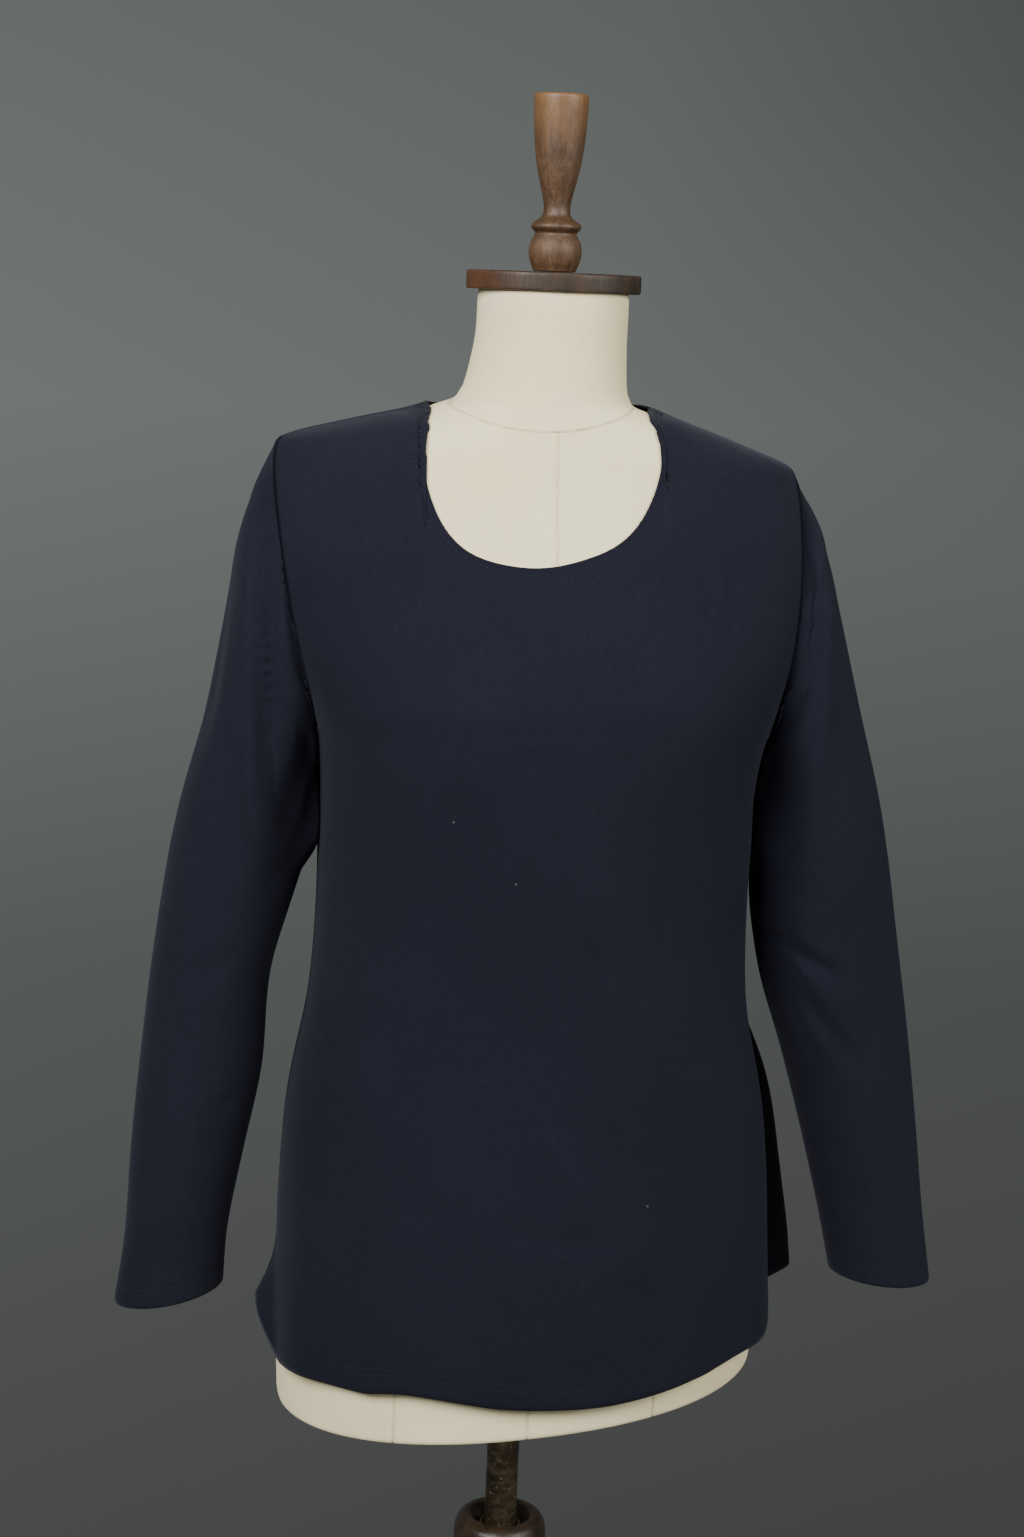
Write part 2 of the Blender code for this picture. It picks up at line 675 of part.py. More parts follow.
def add_cap(collection):
    """The oval wooden plate that closes the neck."""
    bpy.ops.mesh.primitive_cylinder_add(
        vertices=2 * TURNED_STEPS,
        radius=0.5,
        depth=CAP_THICKNESS,
        location=(0, 0, NECK_TOP_HEIGHT + SEAM_GAP + CAP_THICKNESS / 2),
    )
    cap = bpy.context.object
    cap.name = "neck_cap"
    cap.scale = (CAP_WIDTH, CAP_DEPTH, 1)
    bpy.ops.object.transform_apply(location=False, rotation=False, scale=True)
    cap.data.materials.append(material(BROWN_WOOD))
    edge = cap.modifiers.new("eased edge", "BEVEL")
    edge.width = CAP_EDGE
    edge.segments = 2
    edge.limit_method = "ANGLE"
    for owner in cap.users_collection:
        owner.objects.unlink(cap)
    collection.objects.link(cap)


def add_stand(collection):
    """Pole, its collar, the wooden column that holds it, and a round base."""
    pole_bottom = SOCKET_TOP_HEIGHT - SOCKET_DEPTH + SEAM_GAP
    pole = [(0, POLE_TOP_HEIGHT), (POLE_RADIUS, POLE_TOP_HEIGHT), (POLE_RADIUS, pole_bottom), (0, pole_bottom)]
    add_turned("pole", pole, AGED_METAL, collection)

    bore_radius = POLE_RADIUS + SEAM_GAP
    seat_height = SOCKET_TOP_HEIGHT - FUNNEL_DEPTH
    ring_bottom = seat_height + SEAM_GAP
    ring_top = ring_bottom + RING_HEIGHT
    ring = [
        (bore_radius, ring_top),
        (RING_RADIUS - RING_HEIGHT / 4, ring_top),
        (RING_RADIUS, ring_top - RING_HEIGHT / 4),
        (RING_RADIUS, ring_bottom),
        (bore_radius, ring_bottom),
        (bore_radius, ring_top),
    ]
    add_turned("socket_ring", ring, AGED_METAL, collection)

    column = [
        (0, SOCKET_TOP_HEIGHT - SOCKET_DEPTH),
        (bore_radius, SOCKET_TOP_HEIGHT - SOCKET_DEPTH),
        (bore_radius, seat_height),
        (RING_RADIUS + SEAM_GAP, seat_height),
        (FUNNEL_RADIUS, SOCKET_TOP_HEIGHT),
    ]
    column += rounded_corner(SOCKET_RADIUS, SOCKET_TOP_HEIGHT, SOCKET_ROUNDING, 5, False)
    socket_bottom = SOCKET_TOP_HEIGHT - SOCKET_LENGTH
    step = SOCKET_RADIUS - SHAFT_RADIUS
    column += rounded_corner(SOCKET_RADIUS, socket_bottom, step, 4, True)
    column_bottom = BASE_THICKNESS + SEAM_GAP
    column += [(SHAFT_RADIUS, column_bottom), (0, column_bottom)]
    add_turned("column", column, DARK_WOOD, collection)

    base = [(0, BASE_THICKNESS)]
    base += rounded_corner(BASE_RADIUS, BASE_THICKNESS, BASE_ROUNDING, 4, False)
    base += [(BASE_RADIUS, 0), (0, 0)]
    add_turned("base", base, DARK_WOOD, collection)


def add_finial(collection):
    foot = NECK_TOP_HEIGHT + SEAM_GAP + CAP_THICKNESS
    profile = [(radius, foot + height) for radius, height in FINIAL_PROFILE]
    add_turned("finial", profile, BROWN_WOOD, collection)


def add_top(collection):
    """The four cut pieces of the jersey top."""
    front_rows = panel_rows(1, FRONT_NECKLINES)
    back_rows = panel_rows(-1, BACK_NECKLINES)
    add_cloth("front_panel", front_rows, False, False, 1, None, collection)
    add_cloth("back_panel", back_rows, False, True, 1, None, collection)
    sleeves = (
        ("sleeve_right", -1, SLEEVE_RIGHT_RINGS, SLEEVE_RIGHT_FOLDS),
        ("sleeve_left", 1, SLEEVE_LEFT_RINGS, SLEEVE_LEFT_FOLDS),
    )
    for name, side, stations, folds in sleeves:
        points, normals, shares = armhole_seam(side, front_rows, back_rows)
        rows = [points] + sleeve_rows(side, stations, folds)
        add_cloth(name, rows, True, side > 0, -1, (normals, shares), collection)


def main():
    for old in list(bpy.data.objects):
        bpy.data.objects.remove(old, do_unlink=True)
    parts = bpy.data.collections.new("top on a dress form")
    cutters = bpy.data.collections.new("cutters")
    bpy.context.scene.collection.children.link(parts)
    bpy.context.scene.collection.children.link(cutters)
    add_top(parts)
    add_form(parts, cutters)
    add_cap(parts)
    add_finial(parts)
    add_stand(parts)


main()
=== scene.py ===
import json
import math

import bpy
import numpy as np
from mathutils import Matrix, Vector
from mathutils.bvhtree import BVHTree

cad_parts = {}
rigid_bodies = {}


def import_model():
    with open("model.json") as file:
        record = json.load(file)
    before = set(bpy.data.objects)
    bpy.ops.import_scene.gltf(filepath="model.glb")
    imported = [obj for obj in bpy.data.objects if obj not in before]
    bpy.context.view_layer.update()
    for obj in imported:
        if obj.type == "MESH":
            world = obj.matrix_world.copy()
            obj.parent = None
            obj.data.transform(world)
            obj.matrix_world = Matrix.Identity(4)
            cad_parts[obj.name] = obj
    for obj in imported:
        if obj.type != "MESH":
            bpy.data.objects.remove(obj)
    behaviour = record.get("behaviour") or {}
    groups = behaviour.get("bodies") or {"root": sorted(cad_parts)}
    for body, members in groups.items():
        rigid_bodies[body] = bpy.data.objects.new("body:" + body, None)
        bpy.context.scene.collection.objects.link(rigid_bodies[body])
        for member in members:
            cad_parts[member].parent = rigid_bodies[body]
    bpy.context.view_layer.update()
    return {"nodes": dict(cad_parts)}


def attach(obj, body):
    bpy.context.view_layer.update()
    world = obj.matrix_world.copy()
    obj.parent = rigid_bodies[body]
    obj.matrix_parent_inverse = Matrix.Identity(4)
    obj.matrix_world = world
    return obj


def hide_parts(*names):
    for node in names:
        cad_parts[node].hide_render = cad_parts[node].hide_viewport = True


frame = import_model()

# Stand base: a round disc of dark stained hardwood, turned on a lathe with an eased upper edge.
# It is glued under the column and carries the whole form.


def deselect_all():
    """Nothing selected and no active object, before a new piece is made."""
    bpy.ops.object.select_all(action="DESELECT")
    bpy.context.view_layer.objects.active = None


def start_editing(kind=None, action=None):
    """Edit the active piece; kind is what to select by, and action selects all or nothing."""
    bpy.ops.object.mode_set(mode="EDIT")
    if kind:
        bpy.ops.mesh.select_mode(type=kind)
    if action:
        bpy.ops.mesh.select_all(action=action)


def stop_editing():
    """Go back from edit mode to object mode."""
    bpy.ops.object.mode_set(mode="OBJECT")


def places_of(mesh, kind="co"):
    """Where the points of a mesh are, as rows of x, y, z."""
    flat = np.zeros(len(mesh.vertices) * 3)
    mesh.vertices.foreach_get(kind, flat)
    return flat.reshape(-1, 3)


def normals_of(mesh):
    """The direction in which each point of a mesh faces."""
    return places_of(mesh, "normal")


def apply_modifier(piece, kind, **settings):
    """Add one modifier and apply it at once."""
    made = piece.modifiers.new(kind.lower(), kind)
    for key, value in settings.items():
        setattr(made, key, value)
    bpy.ops.object.modifier_apply(modifier=made.name)


def turned_piece(name, outline, segments=48, across=(1.0, 1.0)):
    """Turn a closed piece: a disc drawn through (radius, height) rows, then rounded smooth.

    across stretches the disc to an oval. Two rows close together keep a crisp edge.
    """
    deselect_all()
    radius, height = outline[0]
    bpy.ops.mesh.primitive_circle_add(vertices=segments, radius=radius, fill_type="NGON")
    piece = bpy.context.object
    piece.name = name
    piece.data.name = name
    start_editing("FACE", "SELECT")
    bpy.ops.transform.resize(value=(across[0], across[1], 1), center_override=(0, 0, 0))
    bpy.ops.transform.translate(value=(0, 0, height))
    for next_radius, next_height in outline[1:]:
        step = (0, 0, next_height - height)
        bpy.ops.mesh.extrude_region_move(TRANSFORM_OT_translate={"value": step})
        share = next_radius / radius
        bpy.ops.transform.resize(value=(share, share, 1), center_override=(0, 0, next_height))
        radius, height = next_radius, next_height
    bpy.ops.mesh.select_all(action="SELECT")
    bpy.ops.mesh.normals_make_consistent(inside=False)
    stop_editing()
    apply_modifier(piece, "SUBSURF", levels=2, render_levels=2)
    bpy.ops.object.shade_smooth()
    return piece


def put(tree, kind, values=None, **properties):
    """Place a shader node; values go by socket name or number, and a socket is linked."""
    made = tree.nodes.new("ShaderNode" + kind)
    for key, value in properties.items():
        setattr(made, key, value)
    for key, value in (values or {}).items():
        if isinstance(value, bpy.types.NodeSocket):
            tree.links.new(value, made.inputs[key])
        else:
            made.inputs[key].default_value = value
    return made


def tree_of(*values):
    """The node tree that the sockets among some values belong to."""
    return next(value.id_data for value in values if isinstance(value, bpy.types.NodeSocket))


def ramp(factor, *stops):
    """A colour ramp through (position, grey or colour) stops."""
    made = put(factor.id_data, "ValToRGB", {"Fac": factor})
    points = made.color_ramp.elements
    while len(points) < len(stops):
        points.new(0.5)
    for point, (place, value) in zip(points, stops):
        point.position = place
        point.color = (value, value, value, 1) if isinstance(value, (int, float)) else (*value, 1)
    return made.outputs["Color"]


def blend_colours(factor, first, second, blend_type="MIX"):
    """Mix two colours by a mask."""
    first, second = (
        value if isinstance(value, bpy.types.NodeSocket) else (*value, 1)
        for value in (first, second)
    )
    values = {0: factor, 6: first, 7: second}
    tree = tree_of(factor, first, second)
    return put(tree, "Mix", values, data_type="RGBA", blend_type=blend_type).outputs[2]


def calc(operation, *values, **properties):
    """One step of arithmetic on numbers or sockets."""
    steps = dict(enumerate(values))
    return put(tree_of(*values), "Math", steps, operation=operation, **properties).outputs[0]


def noise(place, scale, detail=2.0, roughness=0.5, **others):
    """Soft noise over a place; three scales stretch it along each axis."""
    if isinstance(scale, tuple):
        place = put(place.id_data, "Mapping", {"Vector": place, "Scale": scale}).outputs[0]
        scale = 1.0
    values = {"Vector": place, "Scale": scale, "Detail": detail, "Roughness": roughness, **others}
    return put(place.id_data, "TexNoise", values).outputs["Fac"]


def object_place(tree):
    """The place of each point on the piece itself."""
    return put(tree, "TexCoord").outputs["Object"]


def relief(height, strength, distance):
    """Fine relief for the light alone; all larger shapes are in the mesh."""
    values = {"Strength": strength, "Distance": distance, "Height": height}
    return put(height.id_data, "Bump", values).outputs[0]


def feed(shader, **sockets):
    """Link values to the sockets of a shader, with _ for a space in a socket's name."""
    for name, value in sockets.items():
        shader.id_data.links.new(value, shader.inputs[name.replace("_", " ")])


def new_finish(name, **constants):
    """A material with constant sockets; gives the material, its tree and its shader."""
    made = bpy.data.materials.new(name)
    made.use_nodes = True
    shader = made.node_tree.nodes["Principled BSDF"]
    for key, value in constants.items():
        shader.inputs[key.replace("_", " ")].default_value = value
    return made, made.node_tree, shader


# Grain of turned wood: long streaks up the piece, fine dark pores and small dents.
turned_grain = bpy.data.node_groups.new("turned wood grain", "ShaderNodeTree")
for direction, kind, labels in (
    ("INPUT", "Color", ("Deep", "Pale")),
    ("INPUT", "Float", ("Fineness", "Upright")),
    ("OUTPUT", "Color", ("Color",)),
    ("OUTPUT", "Float", ("Height", "Wear")),
):
    for label in labels:
        turned_grain.interface.new_socket(
            name=label, in_out=direction, socket_type="NodeSocket" + kind
        )
turned_grain.interface.items_tree["Upright"].default_value = 0.10
grain_in = turned_grain.nodes.new("NodeGroupInput")
grain_out = turned_grain.nodes.new("NodeGroupOutput")
grain_place = object_place(turned_grain)
grain_size = put(turned_grain, "CombineXYZ", {"X": 1.0, "Y": 1.0, "Z": grain_in.outputs["Upright"]})
grain_along = put(
    turned_grain, "VectorMath", {0: grain_place, 1: grain_size.outputs[0]}, operation="MULTIPLY"
).outputs[0]
fineness = grain_in.outputs["Fineness"]
streaks = noise(grain_along, fineness, 6.0, 0.65, Distortion=0.7)
pores = noise(grain_along, calc("MULTIPLY", fineness, 7.0), 3.0, 0.6)
streak_mask = ramp(streaks, (0.32, 0.0), (0.68, 1.0))
pore_mask = ramp(pores, (0.34, 0.45), (0.50, 1.0))
grain_colour = blend_colours(
    streak_mask, grain_in.outputs["Deep"], grain_in.outputs["Pale"]
)
wear_noise = noise(grain_place, 55.0, 5.0, 0.7)
feed(
    grain_out,
    Color=blend_colours(1.0, grain_colour, pore_mask, "MULTIPLY"),
    Height=calc("ADD", streak_mask, pore_mask),
    Wear=ramp(wear_noise, (0.42, 0.0), (0.62, 1.0)),
)


def mark_worn_edges(piece, reach):
    """Store how much each point stands out from its neighbours, as the attribute worn edge."""
    mesh = piece.data
    places = places_of(mesh)
    ends = np.zeros(len(mesh.edges) * 2, int)
    mesh.edges.foreach_get("vertices", ends)
    ends = ends.reshape(-1, 2)
    total = np.zeros_like(places)
    count = np.zeros(len(places))
    for a, b in ((0, 1), (1, 0)):
        np.add.at(total, ends[:, a], places[ends[:, b]])
        np.add.at(count, ends[:, a], 1)
    out = ((places - total / count[:, None]) * normals_of(mesh)).sum(1)
    layer = mesh.attributes.new("worn edge", "FLOAT", "POINT")
    layer.data.foreach_set("value", np.clip(out / reach, 0, 1))


def wood_finish(name, deep, pale, worn, fineness, roughness, edge_wear):
    """Stained and waxed turned wood, rubbed paler along its edges."""
    made, tree, shader = new_finish(name, Coat_Roughness=0.28, Coat_IOR=1.45)
    values = {"Deep": (*deep, 1), "Pale": (*pale, 1), "Fineness": fineness}
    grain = put(tree, "Group", values, node_tree=turned_grain).outputs
    edges = put(tree, "Attribute", attribute_name="worn edge").outputs["Fac"]
    edge_mask = calc("MULTIPLY", edges, grain["Wear"])
    edge_mask = calc("MULTIPLY", edge_mask, edge_wear, use_clamp=True)
    colour = blend_colours(edge_mask, grain["Color"], worn)
    feed(
        shader,
        Base_Color=colour,
        Roughness=ramp(grain["Wear"], (0.0, roughness - 0.07), (1.0, roughness + 0.12)),
        Coat_Weight=ramp(grain["Wear"], (0.0, 0.10), (1.0, 0.03)),
        Normal=relief(grain["Height"], 0.35, 0.0004),
    )
    return made, tree, shader, colour


def tint_along_axis(wood, axis, start, end, mottle, tint):
    """Blend a tint in along one axis of a wooden piece, broken up by a mottle."""
    _, tree, shader, colour = wood
    side = put(tree, "SeparateXYZ", {0: object_place(tree)}).outputs[axis]
    worn = put(tree, "MapRange", {"Value": side, "From Min": start, "From Max": end}).outputs[0]
    feed(shader, Base_Color=blend_colours(calc("MULTIPLY", worn, mottle), colour, tint))


def finish_piece(piece, finish, node):
    """Give a piece its material, hang it on the frame and let it stand for its CAD node."""
    piece.data.materials.clear()
    piece.data.materials.append(finish)
    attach(piece, "root")
    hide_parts(node)


stand_wood, *_ = wood_finish(
    "dark stand wood",
    (0.01, 0.006, 0.004),
    (0.04, 0.022, 0.013),
    (0.1, 0.055, 0.03),
    fineness=60.0,
    roughness=0.38,
    edge_wear=0.8,
)
STAND_EDGE = 0.0006
base_outline = (
    (0.166, 0.0), (0.1692, 0.0004), (0.17, 0.0022), (0.17, 0.015), (0.1695, 0.0205),
    (0.1665, 0.0252), (0.1615, 0.0276), (0.154, 0.028), (0.1, 0.028), (0.04, 0.028),
)
stand_base = turned_piece("stand_base", base_outline, segments=64)
mark_worn_edges(stand_base, STAND_EDGE)
finish_piece(stand_base, stand_wood, "base")

# Column: one length of the same dark wood, turned plain, with a stout rounded socket at the top.
# The socket is dished round the bore in which the pole slides.
column_outline = (
    (0.0246, 0.0283), (0.025, 0.0288), (0.025, 0.15), (0.025, 0.35), (0.025, 0.548),
    (0.0252, 0.561), (0.0268, 0.5634), (0.03, 0.5652), (0.0324, 0.5682), (0.0334, 0.5724),
    (0.0335, 0.58), (0.0335, 0.612), (0.0333, 0.6215), (0.0322, 0.6268), (0.0296, 0.6308),
    (0.0258, 0.6327), (0.0228, 0.6329), (0.0217, 0.6325), (0.0206, 0.6308), (0.0166, 0.6236),
    (0.0158, 0.6224), (0.014, 0.6222), (0.006, 0.6222),
)
stand_column = turned_piece("stand_column", column_outline)
mark_worn_edges(stand_column, STAND_EDGE)
finish_piece(stand_column, stand_wood, "column")

# Pole and ring: a steel tube that has browned and spotted with age, marked where it was clamped.
# A small steel ring lies round it in the dish of the socket.
aged_steel, steel_tree, steel = new_finish("aged steel", Specular_IOR_Level=0.5)
steel_place = object_place(steel_tree)
blotches = noise(steel_place, 75.0, 7.0, 0.72)
flecks = noise(steel_place, 260.0, 4.0, 0.6)
rubbing = noise(steel_place, (60.0, 60.0, 420.0), 3.0)
brown = ramp(
    blotches,
    (0.36, (0.035, 0.024, 0.013)),
    (0.5, (0.1, 0.075, 0.042)),
    (0.64, (0.24, 0.2, 0.14)),
)
bright = ramp(flecks, (0.60, 0.0), (0.70, 1.0))
steel_colour = blend_colours(bright, brown, (0.50, 0.46, 0.38))
scuffs = ramp(rubbing, (0.35, 0.60), (0.60, 1.0))
feed(
    steel,
    Base_Color=blend_colours(1.0, steel_colour, scuffs, "MULTIPLY"),
    Metallic=ramp(blotches, (0.40, 0.55), (0.62, 0.95)),
    Roughness=ramp(flecks, (0.35, 0.62), (0.70, 0.34)),
    Normal=relief(blotches, 0.5, 0.0003),
)

POLE_RADIUS = 0.0115
GROOVE_RADIUS = 0.01125
pole_outline = [(0.0111, 0.5836)] + [(POLE_RADIUS, height) for height in (0.5842, 0.6200, 0.6480)]
for mark in (0.6500, 0.6712, 0.7240):
    pole_outline += [(POLE_RADIUS, mark - 0.0010), (GROOVE_RADIUS, mark - 0.0003)]
    pole_outline += [(GROOVE_RADIUS, mark + 0.0003), (POLE_RADIUS, mark + 0.0010)]
pole_outline += [(POLE_RADIUS, 0.7600), (POLE_RADIUS, 0.8180), (0.0113, 0.8196), (0.0106, 0.8199)]
stand_pole = turned_piece("stand_pole", pole_outline, segments=40)
finish_piece(stand_pole, aged_steel, "pole")

RING_HEIGHT = 0.62435
deselect_all()
bpy.ops.mesh.primitive_torus_add(
    major_segments=56,
    minor_segments=14,
    major_radius=0.01368,
    minor_radius=0.00178,
    location=(0, 0, RING_HEIGHT),
)
pole_ring = bpy.context.object
pole_ring.name = "pole_ring"
bpy.ops.object.transform_apply(location=True, rotation=False, scale=False)
start_editing("FACE", "SELECT")
bpy.ops.transform.resize(value=(1, 1, 1.06), center_override=(0, 0, RING_HEIGHT))
stop_editing()
bpy.ops.object.shade_smooth()
finish_piece(pole_ring, aged_steel, "socket_ring")

# Form: a firm moulded body without limbs, covered in cream linen cut in panels and stretched tight.
# Its seams run up the middle, over each side of the chest and round the root of the neck.


def copy_of_node(node, name):
    """A copy of a CAD node under its own name, with its loose triangles merged."""
    deselect_all()
    copy = bpy.data.objects.new(name, frame["nodes"][node].data.copy())
    copy.data.name = name
    bpy.context.scene.collection.objects.link(copy)
    copy.select_set(True)
    bpy.context.view_layer.objects.active = copy
    start_editing("FACE", "SELECT")
    bpy.ops.mesh.remove_doubles(threshold=0.00002)
    bpy.ops.mesh.select_all(action="DESELECT")
    stop_editing()
    return copy


def join_to_quads():
    """Join the triangles of the active piece to an even grid of quads."""
    start_editing("FACE", "SELECT")
    bpy.ops.mesh.tris_convert_to_quads(
        face_threshold=math.pi, shape_threshold=math.pi, topology_influence=2
    )
    bpy.ops.mesh.select_all(action="DESELECT")
    stop_editing()


def smooth_through(piece, levels):
    """Round a coarse mesh so that its surface still passes through the coarse points."""
    wanted = places_of(piece.data)
    for _ in range(3):
        rounding = piece.modifiers.new("rounding", "SUBSURF")
        rounding.levels = rounding.render_levels = levels
        rounding.boundary_smooth = "PRESERVE_CORNERS"
        seen = piece.evaluated_get(bpy.context.evaluated_depsgraph_get())
        got = places_of(seen.data)[: len(wanted)]
        piece.modifiers.remove(rounding)
        piece.data.vertices.foreach_set("co", (places_of(piece.data) + wanted - got).ravel())
        piece.data.update()
    settings = {"levels": levels, "render_levels": levels, "boundary_smooth": "PRESERVE_CORNERS"}
    apply_modifier(piece, "SUBSURF", **settings)
    bpy.ops.object.shade_smooth()


def choose_faces(piece, chosen):
    """Select the faces that pass a test, in object mode."""
    for face in piece.data.polygons:
        face.select = chosen(face)


def delete_faces(piece, chosen):
    """Take away the faces that pass a test."""
    choose_faces(piece, chosen)
    start_editing()
    bpy.ops.mesh.delete(type="FACE")
    stop_editing()


NECK_TOP = 1.5010
NECK_SEAM_LOW = 1.4127
NECK_SEAM_LEAN = 0.080
NECK_SEAM_BOW = 3.90
NECK_SEAM_SIDE = (-0.020, 1.4265)
NECK_SEAM_RISE = 0.087
NECK_SEAM_PARTS = 8
NECK_HALF_WIDTH = 0.066
UPRIGHT_SEAMS = (-0.0010, -0.0890, 0.0855)
SEAM_HALF_WIDTH = 0.0012
SEAM_SINK = 0.0007
FORM_FOOT = 0.765
FORM_MIDDLE = 1.0
BORE_REACH = 0.020

dress_form = copy_of_node("form_body", "dress_form")
join_to_quads()
delete_faces(dress_form, lambda face: face.center.z < FORM_FOOT and face.normal.z < -0.8)
delete_faces(
    dress_form,
    lambda face: math.hypot(face.center.x, face.center.y) < BORE_REACH and face.center.z < 0.9,
)
delete_faces(dress_form, lambda face: face.center.z > NECK_TOP - 0.0001 and face.normal.z > 0.9)
for upper, inset in ((False, 0.012), (True, 0.004)):
    start_editing("EDGE", "DESELECT")
    bpy.ops.mesh.select_non_manifold(
        extend=False,
        use_wire=False,
        use_multi_face=False,
        use_non_contiguous=False,
        use_verts=False,
    )
    stop_editing()
    points = dress_form.data.vertices
    for edge in dress_form.data.edges:
        if edge.select and (points[edge.vertices[0]].co.z > FORM_MIDDLE) != upper:
            edge.select = False
    for point in points:
        if point.select and (point.co.z > FORM_MIDDLE) != upper:
            point.select = False
    start_editing()
    bpy.ops.mesh.edge_face_add()
    bpy.ops.mesh.select_mode(type="FACE")
    bpy.ops.mesh.inset(thickness=inset)
    bpy.ops.mesh.inset(thickness=2 * inset)
    stop_editing()
start_editing("FACE", "SELECT")
bpy.ops.mesh.normals_make_consistent(inside=False)
stop_editing()
smooth_through(dress_form, 2)


def neck_seam_height(x, y):
    """Height of the neck seam at a place: it bows down across the front and lies level behind."""
    if y > NECK_SEAM_SIDE[0]:
        return NECK_SEAM_SIDE[1] + NECK_SEAM_RISE * (y - NECK_SEAM_SIDE[0])
    return NECK_SEAM_LOW + NECK_SEAM_LEAN * x + NECK_SEAM_BOW * x * x


def sew_seam(piece, through, across, chosen):
    """Cut the cover along three close planes on the chosen faces, and sink the middle one."""
    across = Vector(across).normalized()
    for offset in (-SEAM_HALF_WIDTH, SEAM_HALF_WIDTH, 0.0):
        choose_faces(piece, chosen)
        start_editing("FACE")
        bpy.ops.mesh.bisect(plane_co=Vector(through) + across * offset, plane_no=across)
        stop_editing()
    start_editing()
    bpy.ops.transform.shrink_fatten(value=-SEAM_SINK)
    stop_editing()


def round_neck(face):
    return 1.38 < face.center.z < 1.46


def back_of_neck(face):
    return face.center.y > NECK_SEAM_SIDE[0] and round_neck(face)


def below_neck(face):
    height = neck_seam_height(face.center.x, face.center.y)
    return face.center.z < height - SEAM_HALF_WIDTH and face.normal.z > -0.8


part_width = 2 * NECK_HALF_WIDTH / NECK_SEAM_PARTS
for part in range(NECK_SEAM_PARTS):
    start = part * part_width - NECK_HALF_WIDTH
    first, last = (neck_seam_height(x, -NECK_HALF_WIDTH) for x in (start, start + part_width))
    sew_seam(
        dress_form,
        (start, 0, first),
        ((first - last) / part_width, 0, 1),
        lambda face: start < face.center.x < start + part_width
        and face.center.y < NECK_SEAM_SIDE[0]
        and round_neck(face),
    )
sew_seam(dress_form, (0, *NECK_SEAM_SIDE), (0, -NECK_SEAM_RISE, 1), back_of_neck)
for seam_at in UPRIGHT_SEAMS:
    sew_seam(dress_form, (seam_at, 0, 1.0), (1, 0, 0), below_neck)
sew_seam(dress_form, (0, 0.0020, 1.0), (0, 1, 0), below_neck)

bpy.ops.object.shade_smooth()

linen, linen_tree, linen_shader = new_finish(
    "cream linen", Specular_IOR_Level=0.2, Sheen_Weight=0.12, Sheen_Roughness=0.6, Roughness=0.9
)
linen_place = object_place(linen_tree)
warp = noise(linen_place, (1900.0, 1900.0, 170.0), 3.0, 0.55)
weft = noise(linen_place, (170.0, 170.0, 1900.0), 3.0, 0.55)
weave = calc("MULTIPLY", calc("ADD", warp, weft), 0.5)
ageing = noise(linen_place, 9.0, 4.0, 0.6)
linen_yarn = ramp(weave, (0.36, (0.79, 0.705, 0.455)), (0.62, (0.88, 0.795, 0.535)))
yellowed = ramp(ageing, (0.38, (0.96, 0.94, 0.86)), (0.60, 1.0))
linen_colour = blend_colours(1.0, linen_yarn, yellowed, "MULTIPLY")
linen_side = put(linen_tree, "SeparateXYZ", {0: linen_place}).outputs


def seam_line(offset, width):
    """A mask that is 1 where an offset from a seam is 0 and fades out at its width."""
    values = {"Value": calc("ABSOLUTE", offset), "From Max": width}
    return put(linen_tree, "MapRange", {**values, "To Min": 1.0, "To Max": 0.0}).outputs[0]


bow = calc("MULTIPLY_ADD", linen_side["X"], NECK_SEAM_BOW, NECK_SEAM_LEAN)
bow = calc("MULTIPLY_ADD", bow, linen_side["X"], NECK_SEAM_LOW)
level = NECK_SEAM_SIDE[1] - NECK_SEAM_RISE * NECK_SEAM_SIDE[0]
level = calc("MULTIPLY_ADD", linen_side["Y"], NECK_SEAM_RISE, level)
behind = calc("GREATER_THAN", linen_side["Y"], NECK_SEAM_SIDE[0])
neck_rise = put(linen_tree, "Mix", {0: behind, 2: bow, 3: level}).outputs[0]
over_seam = calc("SUBTRACT", linen_side["Z"], neck_rise)
seam_mask = seam_line(over_seam, 0.0011)
under_seam = calc("LESS_THAN", over_seam, 0.0)
for seam_at in UPRIGHT_SEAMS:
    offset = calc("SUBTRACT", linen_side["X"], seam_at)
    upright_mask = calc("MULTIPLY", seam_line(offset, 0.0018), under_seam)
    upright_mask = calc("MULTIPLY", upright_mask, 0.75)
    seam_mask = calc("MAXIMUM", seam_mask, upright_mask)
seam_mask = calc("MULTIPLY", seam_mask, 0.55)
feed(
    linen_shader,
    Base_Color=blend_colours(seam_mask, linen_colour, (0.36, 0.28, 0.16)),
    Normal=relief(weave, 0.25, 0.0002),
)
finish_piece(dress_form, linen, "form_body")

# Neck cap: an oval plate of brown stained wood that closes the neck and hides the linen's edge.
# Towards the wearer's right side it is tinted orange, broken up by a mottle.
CAP_ACROSS = (1.0, 0.110 / 0.116)
cap_outline = (
    (0.056, 1.50135), (0.0576, 1.5016), (0.058, 1.5026), (0.058, 1.5075), (0.058, 1.5122),
    (0.0575, 1.5134), (0.0563, 1.5138), (0.052, 1.5138), (0.03, 1.5138),
)
cap_wood = wood_finish(
    "brown cap wood",
    (0.011, 0.0048, 0.0017),
    (0.026, 0.012, 0.0045),
    (0.2, 0.12, 0.05),
    fineness=110.0,
    roughness=0.62,
    edge_wear=1.6,
)
cap_tree = cap_wood[1]
cap_mottle = noise(object_place(cap_tree), 90.0, 4.0)
# Tint the cap orange towards the wearer's right side.
tint_along_axis(cap_wood, "X", -0.020, -0.056, cap_mottle, (0.105, 0.036, 0.010))
oval_cap = turned_piece("oval_cap", cap_outline, segments=56, across=CAP_ACROSS)
mark_worn_edges(oval_cap, 0.00035)
finish_piece(oval_cap, cap_wood[0], "neck_cap")

